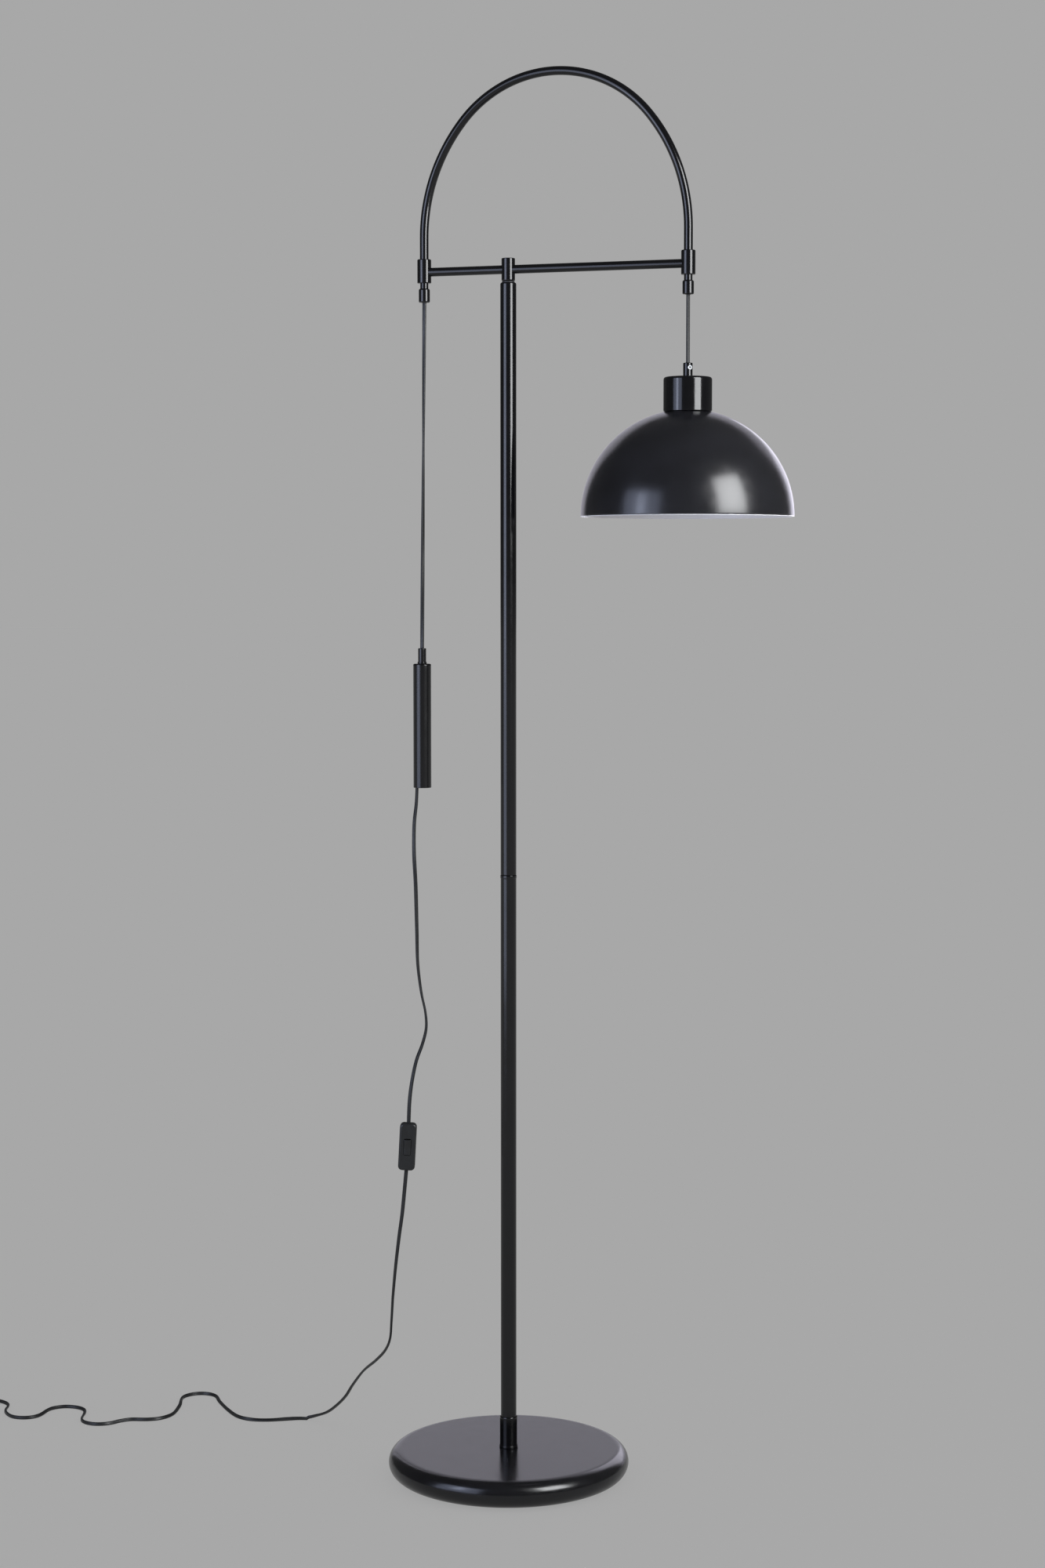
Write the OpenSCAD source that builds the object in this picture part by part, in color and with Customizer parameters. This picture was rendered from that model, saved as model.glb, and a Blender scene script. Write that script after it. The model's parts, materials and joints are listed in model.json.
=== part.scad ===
// Counterbalanced arc floor lamp. Millimetres, +Z up, origin under the base on the pole's axis.
// The arm lies along X: shade at +X, counterweight at -X. One lead runs from the shade over the arc,
// down through the counterweight to an in-line switch, and along the floor to its plug.

/* [Base] */
// Outer diameter of the base
base_d = 293; // [270:1:320]
// Height of the top of the base above the floor
base_h = 34; // [32:1:38]
// Sheet thickness of the base cover
cover_t = 1.2; // [0.8:0.1:1.6]

/* [Pole] */
// Outer diameter of both pole tubes
pole_d = 19; // [18:0.5:20]
// Wall thickness of the pole tubes
pole_t = 1.5; // [1.2:0.1:1.8]
// Height of the joint between the lower and the upper pole
pole_joint_z = 736.7; // [650:0.1:800]
// Height of the top of the pole
pole_top_z = 1443.5; // [1400:0.1:1500]

/* [Arm] */
// Distance from the pole to the cable outlet on the weight's side
arm_back = 106; // [100:1:120]
// Distance from the pole to the cable outlet on the shade's side
arm_front = 220.5; // [215:0.5:240]
// Outer diameter of the crossbar and of the arc tube
tube_d = 10.4; // [10:0.1:11]
// Height of the point where the arc's straight legs end and its bend starts
arch_spring_z = 1500; // [1495:1:1510]
// Height of the arc's bend, from its legs to the middle of its crown
arch_rise = 188; // [180:1:195]
// Bend radius of the arc's crown; its shoulders are bent wider
arch_crown_r = 149; // [145:1:155]

/* [Shade] */
// Outer diameter of the dome
dome_d = 250; // [240:1:256]
// Sheet thickness of the dome
dome_t = 1.2; // [0.8:0.1:1.6]
// Height of the dome's rim
dome_rim_z = 1165; // [1160:1:1170]
// Height of the cap on the dome
cap_h = 40.6; // [38:0.1:44]

/* [Counterweight] */
// Diameter of the counterweight
weight_d = 21.7; // [20:0.1:24]
// Height of the underside of the counterweight
weight_z = 839.7; // [800:0.1:860]
// Length of the counterweight without its neck
weight_len = 150.3; // [120:0.1:160]

/* [Lead] */
// Width of the flat twin lead
lead_w = 4.8; // [4.4:0.1:5.2]
// Length of the in-line switch
switch_len = 58; // [54:1:62]
// Width of the in-line switch
switch_w = 20.6; // [18:0.1:22]

/* [Hidden] */
$fn = 64;

// Radial gaps: a shaft that turns or slides, and a part that is only pushed in
run_gap = 0.05;
fit_gap = 0.05;
// Edge rounding of turned parts
turned_r = 1.2;

// Base
pad_h = 3;
plate_t = 1.5;
cover_z = 1.5;
bead_r = (base_h - cover_z) / 2;
bead_c = base_d / 2 - bead_r;
floor_ring_r = bead_c - 6;
ballast_r = bead_c - 8;
ballast_h = 17;
boss_r = 30;
bolt_r = 5;
bolt_head_h = 6.4;
bolt_af_r = 9.2;
bolt_top_z = 62;
washer_z = 13.4;

// Pole
pole_r = pole_d / 2;
pole_bore_r = pole_r - pole_t;
collar_r = 10.75;
collar_top_z = 73;
collar_ring_r = 11.3;
lip_r = pole_r + 0.35;
insert_len = 30;

// Arm
bar_z = 1458.7;
tube_r = tube_d / 2;
tube_t = 1;
hub_r = 8;
hub_top_z = 1472;
tee_r = 8.3;
tee_z0 = 1445.6;
tee_z1 = 1474;
washer_t = 0.8;
stud_r = 5;
stud_bottom_z = 1412;
nipple_r = 4.9;
spigot_r = 3.95;
nipple_z0 = 1439.3;
ferrule_r = 6.65;
ferrule_z0 = 1422.8;
leg_seat_z = tee_z1 - 7;
half_span = (arm_front + arm_back) / 2;
arc_x = (arm_front - arm_back) / 2;
shoulder_r = (pow(half_span, 2) + pow(arch_rise - arch_crown_r, 2) - pow(arch_crown_r, 2))
  / (2 * (half_span - arch_crown_r));
crown_z = arch_spring_z + arch_rise - arch_crown_r;
shoulder_a = atan2(arch_rise - arch_crown_r, shoulder_r - half_span);
shoulder_steps = 6;
crown_steps = 32;
lead_r = lead_w / 2;
lead_bore_r = 3;

// Shade
dome_r = dome_d / 2;
apex_z = dome_rim_z + dome_r;
cap_r = 28.4;
cap_z0 = dome_rim_z + sqrt(dome_r * dome_r - cap_r * cap_r) + 0.1;
cap_z1 = cap_z0 + cap_h;
cap_t = 1.2;
clamp_r = 5.5;
clamp_len = 16.4;
clamp_z1 = cap_z1 + clamp_len;
clamp_screw_r = 2.8;
clamp_screw_z = clamp_z1 - 5.6;
clamp_screw_turn = -50;
cap_nipple_r = 5;
holder_r = 19;
holder_z0 = apex_z - dome_t - 52;
holder_z1 = apex_z - dome_t - 0.1;
holder_split_z = holder_z1 - 18;
socket_r = 13.35;
socket_z0 = holder_z0 + 3;
socket_len = 24;

// Counterweight: it hangs a little outside the outlet because its lead pulls it out
weight_x = -110;
weight_r = weight_d / 2;
weight_z1 = weight_z + weight_len;
neck_r = 4.9;
neck_z1 = weight_z1 + 18.7;
exit_x = weight_x - 7;
exit_lean = atan((weight_x - exit_x) / (neck_z1 - weight_z));
sleeve_t = 1.2;
end_plug_t = 5;

// In-line switch, seen from its own middle: long axis Z, front face to -Y
switch_c = [-128.5, -6, 399];
switch_turn = 18;
switch_lean = 3;
switch_t = 14;
switch_end = [sin(switch_lean) * cos(switch_turn), sin(switch_lean) * sin(switch_turn),
  cos(switch_lean)] * (switch_len / 2);
rocker_w = 8.6;
rocker_len = 19;
rocker_pin_r = 1;
rocker_axis_y = -3.5;
rocker_tilt = 6;

// Route of the free lead: from the counterweight to the switch, from there to where the arm's
// turning no longer moves it much, and on to the coil that stores the rest beside its plug
hanging_route = [[exit_x, 0, weight_z], [-118, 0, 820], [-120, -2, 795], [-120, -3, 760],
  [-118, -3, 720], [-117, -2, 665], [-116, -2, 625], [-112, -1, 590], [-107, 0, 565],
  [-106, 0, 545], [-111, 0, 525], [-118, -2, 505], [-123, -4, 480], [-126, -5, 455],
  switch_c + switch_end];
below_route = [switch_c - switch_end, [-132, -6, 350], [-136, -5, 315], [-141, -3, 285],
  [-147, 0, 245], [-152.6, 5.5, 207]];
plug_route = [
    [-153, 6, 205], [-157, 12, 175], [-162, 20, 150], [-173, 32, 131], [-192, 49, 112],
    [-218, 73, 90], [-240, 92, 65], [-254, 102, 46], [-270, 112, 30], [-288, 122, 16],
    [-308, 130, 7], [-326, 128, 2.5], [-345, 119, 2.5], [-368, 108, 2.5], [-390, 104, 2.5],
    [-411, 112, 2.5], [-436, 138, 2.5], [-459, 166, 2.5], [-475, 188, 2.5], [-492, 193, 2.5],
    [-507, 185, 2.5], [-513, 166, 2.5], [-502, 132, 2.5], [-495, 96, 2.5], [-500, 74, 2.5],
    [-514, 62, 2.5], [-534, 56, 2.5], [-545, 46, 2.5], [-558, 28, 2.5], [-576, 22, 2.5],
    [-595, 33, 2.5], [-612, 74, 2.5], [-638, 82, 2.5], [-656, 67, 2.5], [-658, 33, 2.5],
    [-670, 19, 2.5], [-689, 19, 2.5], [-708, 37, 2.5], [-720, 66, 2.5], [-745, 78, 2.5],
    [-785, 79, 3.5]
];
tail_route = [[-785, 79, 18], [-802, 80, 17], [-818, 76, 13], [-829, 66, 10], [-834, 54, 7.5],
  [-835, 42, 7]];
coil_c = [-785, 50];
coil_mean_r = 29;
coil_half_t = 2;
coil_z0 = 1;
coil_z1 = 15.5;
tie_t = 1;
tie_w = 8;
plug_c = [-835, 42, 7];
plug_len = 34;
plug_w = 26;
plug_t = 13.6;
pin_r = 2;
pin_len = 19;
pin_gap = 18.6;

black = "#1a1a1c";
satin_black = "#1f1f21";
steel = "#8d9094";
zinc = "#a9adb0";
brass = "#b99a4e";
nylon = "#3a3a3c";
iron = "#4b4a48";
pvc = "#161617";

// --- shared shapes ---

// A turned disc or rod, standing on z0, with all its edges rounded
module turned(r, z0, z1, edge = turned_r) {
  rotate_extrude()
    union() {
      translate([0, z0]) square([r - edge, z1 - z0]);
      translate([0, z0 + edge]) square([r, z1 - z0 - 2 * edge]);
      for (z = [z0 + edge, z1 - edge])
        translate([r - edge, z]) circle(r = edge, $fn = 32);
    }
}

module rod(r, z0, z1) {
  translate([0, 0, z0]) cylinder(r = r, h = z1 - z0);
}

// A straight tube; the bore runs past both ends so that the cut is clean
module pipe(r, bore, z0, z1) {
  difference() {
    rod(r, z0, z1);
    rod(bore, z0 - 1, z1 + 1);
  }
}

// The slanted way of the lead through the counterweight
module weight_way(r, spare = 0) {
  translate([exit_x, 0, weight_z])
    rotate([0, exit_lean, 0])
      translate([0, 0, -spare])
        cylinder(r = r, h = (neck_z1 - weight_z) / cos(exit_lean) + 2 * spare);
}

module in_switch() {
  translate(switch_c) rotate([0, 0, switch_turn]) rotate([0, switch_lean, 0]) children();
}

// A rounded plate of the switch's outline, from y0 to y1
module switch_slab(y0, y1, inset = 0, corner = 5) {
  w = switch_w / 2 - inset - corner;
  h = switch_len / 2 - inset - corner;
  translate([0, y1, 0])
    rotate([90, 0, 0])
      linear_extrude(height = y1 - y0)
        union() {
          square([2 * w, 2 * (h + corner)], center = true);
          square([2 * (w + corner), 2 * h], center = true);
          for (x = [-w, w], y = [-h, h])
            translate([x, y]) circle(r = corner, $fn = 32);
        }
}

// --- the free lead ---

function unit(v) = v / norm(v);
function held(route, i) = route[max(0, min(len(route) - 1, i))];

// A smooth curve through the route, with a number of steps from each point to the next
function spline_at(a, b, c, d, t) = 0.5 * (2 * b + (c - a) * t + (2 * a - 5 * b + 4 * c - d) * t * t
  + (3 * b - a - 3 * c + d) * t * t * t);
function smooth(route, steps) = [
  for (i = [0 : len(route) - 2], k = [0 : steps - 1])
    spline_at(held(route, i - 1), route[i], route[i + 1], held(route, i + 2), k / steps),
  route[len(route) - 1]];

// The direction of the curve at each point, and a side vector carried along it without twist
function heading(points, i) = unit(held(points, i + 1) - held(points, i - 1));
function carried(side, dir) = unit(side - (side * dir) * dir);
function sides(points, i, side) = i == len(points) ? []
  : concat([carried(side, heading(points, i))],
      sides(points, i + 1, carried(side, heading(points, i))));

// One closed tube of radius r along the points, with a bore if one is given
module swept_tube(points, r, corners = 8, bore = 0) {
  side = sides(points, 0, [0, 1, 0.1]);
  rings = len(points);
  inner = rings * corners;
  last = inner - corners;
  function next(k) = (k + 1) % corners;
  verts = [for (radius = bore > 0 ? [r, bore] : [r], i = [0 : rings - 1], k = [0 : corners - 1])
    let (a = 360 * k / corners, up = cross(heading(points, i), side[i]))
      points[i] + radius * (cos(a) * side[i] + sin(a) * up)];
  walls = [for (a = [0 : corners : last - 1], k = [0 : corners - 1])
    let (n = next(k), b = a + corners)
      each [[a + k, b + k, a + n], [a + n, b + k, b + n]]];
  bore_walls = [for (f = walls) [f[2] + inner, f[1] + inner, f[0] + inner]];
  caps = [[for (k = [0 : corners - 1]) k], [for (k = [corners - 1 : -1 : 0]) last + k]];
  rims = [for (k = [0 : corners - 1])
    let (n = next(k))
      each [[k, n, n + inner, k + inner],
        [last + n, last + k, last + k + inner, last + n + inner]]];
  polyhedron(points = verts, faces = bore > 0 ? concat(walls, bore_walls, rims)
    : concat(walls, caps), convexity = 10);
}

// The middle line of the arc, with straight legs down to z0: a shoulder, the crown, a shoulder
function bend(x, z, r, a) = [x - r * cos(a), 0, z + r * sin(a)];
function arc_path(z0) =
  let (inset = half_span - shoulder_r, step = (180 - 2 * shoulder_a) / crown_steps)
    concat([[-arm_back, 0, z0]],
      [for (i = [0 : shoulder_steps - 1])
        bend(arc_x - inset, arch_spring_z, shoulder_r, shoulder_a * i / shoulder_steps)],
      [for (i = [0 : crown_steps]) bend(arc_x, crown_z, arch_crown_r, shoulder_a + step * i)],
      [for (i = [shoulder_steps - 1 : -1 : 0])
        bend(arc_x + inset, arch_spring_z, shoulder_r, 180 - shoulder_a * i / shoulder_steps)],
      [[arm_front, 0, z0]]);

// --- base ---

module base_cover() {
  color(black)
    difference() {
      rotate_extrude($fn = 128)
        difference() {
          union() {
            translate([0, cover_z]) square([bead_c, 2 * bead_r]);
            translate([bead_c, cover_z + bead_r]) circle(r = bead_r, $fn = 64);
          }
          translate([0, cover_z + cover_t]) square([bead_c, 2 * (bead_r - cover_t)]);
          translate([bead_c, cover_z + bead_r]) circle(r = bead_r - cover_t, $fn = 64);
          translate([0, cover_z - 1]) square([floor_ring_r, 3]);
        }
      rod(bolt_r + 0.3, base_h - 3, base_h + 1);
    }
}

module base_ballast() {
  color(iron)
    difference() {
      union() {
        rod(ballast_r, pad_h + plate_t, pad_h + plate_t + ballast_h);
        rod(boss_r, pad_h + plate_t, base_h - cover_t);
      }
      rod(bolt_r + 0.3, 0, base_h);
      rod(bolt_af_r + 3, 0, washer_z + 1.6);
    }
}

module base_plate() {
  color(steel) pipe(floor_ring_r - 0.3, bolt_af_r + 5, pad_h, pad_h + plate_t);
}

module base_pad() {
  color(nylon) rod(floor_ring_r - 1, 0, pad_h);
}

module base_bolt() {
  color(zinc) {
    translate([0, 0, washer_z - bolt_head_h])
      cylinder(r = bolt_af_r, h = bolt_head_h, $fn = 6);
    rod(bolt_r - fit_gap, washer_z - 0.5, bolt_top_z);
  }
}

module base_washer() {
  color(zinc) pipe(bolt_af_r + 1.5, bolt_r + 0.3, washer_z, washer_z + 1.6);
}

// --- pole ---

module pole_collar() {
  color(black)
    difference() {
      union() {
        turned(collar_r, base_h + 2, collar_top_z, 1.8);
        turned(collar_ring_r, base_h, base_h + 3.2, 1);
      }
      rod(pole_r + fit_gap, base_h - 1, collar_top_z + 1);
    }
}

module pole_foot_plug() {
  color(steel) pipe(pole_bore_r - fit_gap, bolt_r, base_h + 0.5, bolt_top_z + 4);
}

module lower_pole() {
  color(black)
    difference() {
      union() {
        rod(pole_r, base_h + 0.1, pole_joint_z);
        turned(lip_r, pole_joint_z - 4, pole_joint_z, 0.6);
      }
      rod(pole_bore_r, base_h - 1, pole_joint_z + 1);
    }
}

module joint_stud() {
  color(steel) {
    rod(pole_bore_r - fit_gap, pole_joint_z - insert_len, pole_joint_z);
    rod(bolt_r, pole_joint_z - 1, pole_joint_z + 20);
  }
}

module joint_insert() {
  color(steel)
    pipe(pole_bore_r - fit_gap, bolt_r + fit_gap, pole_joint_z + 0.2,
      pole_joint_z + insert_len);
}

module upper_pole() {
  color(black) pipe(pole_r, pole_bore_r, pole_joint_z + 0.2, pole_top_z - 1.5);
}

module pole_top_bush() {
  color(satin_black)
    difference() {
      union() {
        rod(pole_r, pole_top_z - 1.5, pole_top_z);
        rod(pole_bore_r - fit_gap, pole_top_z - 22, pole_top_z - 1);
      }
      rod(stud_r + run_gap, pole_top_z - 23, pole_top_z + 1);
    }
}

module swivel_washer() {
  color(nylon) pipe(hub_r - 0.4, stud_r + 0.3, pole_top_z, pole_top_z + washer_t);
}

// --- arm ---

module hub() {
  color(black)
    difference() {
      turned(hub_r, pole_top_z + washer_t, hub_top_z, 0.8);
      translate([-hub_r - 1, 0, bar_z])
        rotate([0, 90, 0])
          cylinder(r = tube_r + fit_gap, h = 2 * hub_r + 2);
      rod(stud_r - 0.3, pole_top_z, bar_z - tube_r - 1.5);
      translate([0, hub_r - 3.6, bar_z + 7.4])
        rotate([-90, 0, 0])
          cylinder(r = 1.6, h = 5);
    }
}

module swivel_stud() {
  color(zinc) {
    rod(stud_r, stud_bottom_z, pole_top_z + washer_t - 0.05);
    rod(stud_r - 0.35, pole_top_z + washer_t - 0.5, bar_z - tube_r - 1.6);
  }
}

module stud_nut() {
  color(zinc)
    difference() {
      translate([0, 0, stud_bottom_z + 1]) cylinder(r = 7.8, h = 7, $fn = 6);
      rod(stud_r, stud_bottom_z, stud_bottom_z + 9);
    }
}

// Grub screw at the back of the hub, above the crossbar
module hub_screw() {
  color(zinc)
    translate([0, hub_r - 3.4, bar_z + 7.4])
      rotate([-90, 0, 0])
        difference() {
          cylinder(r = 1.55, h = 3);
          translate([0, 0, 1.8]) cylinder(r = 0.9, h = 2, $fn = 6);
        }
}

module crossbar() {
  color(black)
    translate([-arm_back + 4.1, 0, bar_z])
      rotate([0, 90, 0])
        pipe(tube_r, tube_r - tube_t, 0, arm_front + arm_back - 8.2);
}

module arc_tube() {
  color(black) swept_tube(arc_path(leg_seat_z + 0.1), tube_r, 20, tube_r - tube_t);
}

// A tee at x; its side hole faces the pole
module tee(x, side) {
  color(black)
    translate([x, 0, 0])
      difference() {
        turned(tee_r, tee_z0, tee_z1, 0.8);
        rod(tube_r + fit_gap, leg_seat_z, tee_z1 + 1);
        rod(lead_bore_r, tee_z0 - 1, tee_z1);
        rod(spigot_r + fit_gap, tee_z0 - 1, tee_z0 + 6);
        translate([side * 4, 0, bar_z])
          rotate([0, side * 90, 0])
            cylinder(r = tube_r + fit_gap, h = tee_r);
      }
}

module nipple(x) {
  color(black)
    translate([x, 0, 0])
      difference() {
        union() {
          rod(nipple_r, nipple_z0, tee_z0);
          rod(spigot_r, nipple_z0 - 8, tee_z0 + 5.8);
        }
        rod(lead_bore_r - 0.2, nipple_z0 - 9, tee_z0 + 7);
      }
}

module ferrule(x) {
  color(black)
    translate([x, 0, 0])
      difference() {
        turned(ferrule_r, ferrule_z0, nipple_z0, 1.9);
        rod(spigot_r + fit_gap, nipple_z0 - 8.4, nipple_z0 + 1);
        rod(3.6, ferrule_z0 - 1, nipple_z0);
      }
}

module ferrule_bushes() {
  color(nylon)
    for (x = [-arm_back, arm_front])
      translate([x, 0, 0])
        pipe(3.6 - fit_gap, lead_bore_r - 0.4, ferrule_z0 + 0.3, nipple_z0 - 8.5);
}

module lead_in_arc() {
  color(pvc) swept_tube(arc_path(ferrule_z0 + 0.2), lead_r);
}

module weight_cable() {
  drop = ferrule_z0 - neck_z1;
  lean = atan((-arm_back - weight_x) / drop);
  color(pvc)
    translate([weight_x, 0, neck_z1])
      rotate([0, lean, 0])
        rod(lead_r, 0.2, drop - 0.2);
}

module shade_cable() {
  color(pvc) translate([arm_front, 0, 0]) rod(lead_r, clamp_z1 + 0.1, ferrule_z0 - 0.1);
}

// --- shade ---

module cable_clamp() {
  color(black)
    translate([arm_front, 0, 0])
      difference() {
        turned(clamp_r, cap_z1, clamp_z1, 0.7);
        rod(lead_r + 0.2, cap_z1 - 1, clamp_z1 + 1);
        rod(cap_nipple_r - 0.5, cap_z1 - 1, cap_z1 + 5);
        translate([0, 0, clamp_screw_z])
          rotate([0, 90, clamp_screw_turn])
            cylinder(r = clamp_screw_r + fit_gap, h = 8);
      }
}

module clamp_screw() {
  color(zinc)
    translate([arm_front, 0, clamp_screw_z])
      rotate([0, 90, clamp_screw_turn])
        difference() {
          translate([0, 0, lead_r + 0.1]) cylinder(r = clamp_screw_r, h = clamp_r - lead_r + 0.3);
          translate([0, 0, clamp_r - 1.4]) cylinder(r = 1.55, h = 4, $fn = 6);
        }
}

module shade_cap() {
  edge = 3.2;
  color(black)
    translate([arm_front, 0, 0])
      difference() {
        turned(cap_r, cap_z0, cap_z1, edge);
        rotate_extrude()
          union() {
            translate([0, cap_z0 - 1]) square([cap_r - cap_t, cap_h + 1 - cap_t - edge]);
            translate([0, cap_z0 - 1]) square([cap_r - cap_t - edge, cap_h + 1 - cap_t]);
            translate([cap_r - cap_t - edge, cap_z1 - cap_t - edge]) circle(r = edge, $fn = 32);
          }
        rod(cap_nipple_r + fit_gap, cap_z1 - 3, cap_z1 + 1);
      }
}

module cap_nipple() {
  color(zinc)
    translate([arm_front, 0, 0])
      difference() {
        union() {
          rod(cap_nipple_r, holder_z1 - 8, cap_z1 - 0.1);
          rod(cap_nipple_r - 0.55, cap_z1 - 1, cap_z1 + 4.9);
        }
        rod(lead_r + 0.3, holder_z1 - 9, cap_z1 + 6);
      }
}

module cap_nut() {
  color(zinc)
    translate([arm_front, 0, 0])
      difference() {
        translate([0, 0, apex_z + 0.1]) cylinder(r = 8.1, h = 4, $fn = 6);
        rod(cap_nipple_r + fit_gap, apex_z - 1, apex_z + 6);
      }
}

module shade_dome() {
  color(black)
    translate([arm_front, 0, 0])
      difference() {
        translate([0, 0, dome_rim_z])
          rotate_extrude($fn = 128)
            difference() {
              circle(r = dome_r, $fn = 128);
              circle(r = dome_r - dome_t, $fn = 128);
              translate([-dome_r - 1, -dome_r - 1]) square([2 * dome_r + 2, dome_r + 1]);
              translate([-dome_r - 1, -1]) square([dome_r + 1, dome_r + 2]);
            }
        rod(cap_nipple_r + 0.3, apex_z - 5, apex_z + 1);
      }
}

module lampholder_body() {
  color(satin_black)
    translate([arm_front, 0, 0])
      difference() {
        turned(holder_r, holder_z0, holder_split_z, 1.5);
        rod(socket_r + 1.5, holder_z0 - 1, socket_z0 + socket_len + 0.1);
        rod(socket_r - 3, holder_z0, holder_split_z + 1);
      }
}

module lampholder_top() {
  color(satin_black)
    translate([arm_front, 0, 0])
      difference() {
        union() {
          turned(holder_r, holder_split_z + 0.1, holder_z1 - 6, 2);
          rod(holder_r - 5, holder_z1 - 8, holder_z1 - 1.1);
        }
        rod(holder_r - 4, holder_split_z - 1, holder_z1 - 10);
        rod(cap_nipple_r + fit_gap, holder_split_z, holder_z1 + 1);
      }
}

module socket_shell() {
  color(brass)
    translate([arm_front, 0, 0])
      pipe(socket_r + 1.45, socket_r, socket_z0, socket_z0 + socket_len);
}

module socket_contact() {
  color(brass)
    translate([arm_front, 0, 0]) {
      rod(socket_r - 3.1, socket_z0 + socket_len + 1.5, socket_z0 + socket_len + 3);
      rod(3, socket_z0 + socket_len + 0.8, socket_z0 + socket_len + 2);
    }
}

module lead_in_shade() {
  color(pvc)
    translate([arm_front, 0, 0]) rod(lead_r, socket_z0 + socket_len + 3.1, clamp_z1);
}

// --- counterweight ---

module weight_neck() {
  color(black)
    difference() {
      translate([weight_x, 0, 0]) {
        turned(neck_r, weight_z1 + 0.1, neck_z1, 0.6);
        turned(neck_r + 0.7, weight_z1 + 0.1, weight_z1 + 2.4, 0.4);
      }
      weight_way(lead_r + 0.3, 2);
    }
}

module weight_sleeve() {
  color(black)
    difference() {
      translate([weight_x, 0, 0])
        difference() {
          turned(weight_r, weight_z, weight_z1, 1.6);
          rod(weight_r - sleeve_t, weight_z - 1, weight_z1 - 2);
        }
      weight_way(lead_r + 0.3, 2);
    }
}

module weight_core() {
  color(steel)
    difference() {
      translate([weight_x, 0, 0])
        rod(weight_r - sleeve_t - fit_gap, weight_z + end_plug_t, weight_z1 - 2.1);
      weight_way(lead_r + 0.3, 2);
    }
}

module weight_end_plug() {
  color(satin_black)
    difference() {
      translate([weight_x, 0, 0])
        rod(weight_r - sleeve_t - fit_gap, weight_z + 0.3, weight_z + end_plug_t - 0.1);
      weight_way(lead_r + 0.1, 2);
    }
}

module lead_in_weight() {
  color(pvc) weight_way(lead_r, -0.15);
}

// --- lead, switch, coil and plug ---

module lead_hanging() {
  color(pvc) swept_tube(smooth(hanging_route, 1), lead_r);
}

module lead_below_switch() {
  color(pvc) swept_tube(smooth(below_route, 1), lead_r);
}

module lead_to_plug() {
  color(pvc) {
    swept_tube(smooth(plug_route, 2), lead_r);
    swept_tube(smooth(tail_route, 1), lead_r);
  }
}

module lead_coil() {
  color(pvc)
    translate([coil_c[0], coil_c[1], 0])
      pipe(coil_mean_r + coil_half_t, coil_mean_r - coil_half_t, coil_z0, coil_z1);
}

// A band round the turns of the coil, on the side away from where the lead comes in
module coil_tie() {
  depth = 2 * coil_half_t + 0.6;
  color(nylon)
    translate([coil_c[0], coil_c[1] - coil_mean_r, 0])
      difference() {
        translate([-tie_w / 2, -depth / 2 - tie_t, 0])
          cube([tie_w, depth + 2 * tie_t, coil_z1 + 0.2 + tie_t]);
        translate([-tie_w, -depth / 2, coil_z0 - 0.2])
          cube([2 * tie_w, depth, coil_z1 - coil_z0 + 0.4]);
      }
}

module switch_front() {
  color(satin_black)
    in_switch()
      difference() {
        switch_slab(-switch_t / 2, -0.1);
        switch_slab(-switch_t / 2 + 1.6, 1, 1.6, 3.6);
        cube([rocker_w + 0.8, 2 * switch_t, rocker_len + 1.8], center = true);
        translate([0, rocker_axis_y, 0])
          rotate([0, 90, 0])
            cylinder(r = rocker_pin_r + run_gap, h = rocker_w + 4, center = true);
      }
}

module switch_back() {
  color(satin_black)
    in_switch()
      difference() {
        switch_slab(0.1, switch_t / 2);
        switch_slab(-1, switch_t / 2 - 1.6, 1.6, 3.6);
        for (z = [-19, 19])
          translate([0, switch_t / 2 - 3, z])
            rotate([-90, 0, 0])
              cylinder(r = 1.9, h = 5);
      }
}

module switch_screws() {
  color(zinc)
    in_switch()
      for (z = [-19, 19])
        translate([0, switch_t / 2 - 2.4, z])
          rotate([-90, 0, 0])
            difference() {
              cylinder(r = 1.85, h = 1.8);
              translate([-0.3, -3, 1.2]) cube([0.6, 6, 2]);
            }
}

// Two brass strips inside the switch, one on each side of the rocker's foot
module switch_terminals() {
  color(brass)
    in_switch()
      for (z = [-1, 1])
        translate([-4, 2, z * 10 - 4])
          cube([8, 1.6, 8]);
}

module switch_rocker() {
  color(nylon)
    in_switch()
      translate([0, rocker_axis_y, 0])
        union() {
          rotate([rocker_tilt, 0, 0])
            difference() {
              translate([-rocker_w / 2, -4.6, -rocker_len / 2])
                cube([rocker_w, 6, rocker_len]);
              translate([0, -34.2, 0])
                rotate([0, 90, 0])
                  cylinder(r = 30, h = rocker_w + 2, center = true, $fn = 96);
            }
          rotate([0, 90, 0])
            cylinder(r = rocker_pin_r, h = rocker_w + 3.6, center = true);
        }
}

module plug_body() {
  color(satin_black)
    translate(plug_c) {
      hull() {
        translate([-plug_w / 2 + 4, -plug_len, -2]) cube([plug_w - 8, 2, 4]);
        translate([-plug_w / 2, -plug_len + 3, -plug_t / 2 + 3]) cube([plug_w, 12, plug_t - 6]);
        translate([-plug_w / 2 + 5, -plug_len + 3, -plug_t / 2]) cube([plug_w - 10, 12, plug_t]);
        translate([-5, -8, -4.5]) cube([10, 7.8, 9]);
      }
    }
}

module plug_pins() {
  color(zinc)
    for (side = [-1, 1])
      translate([plug_c[0] + side * pin_gap / 2, plug_c[1] - plug_len - 0.1, plug_c[2]])
        rotate([90, 0, 0])
          cylinder(r = pin_r, h = pin_len);
}

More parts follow.
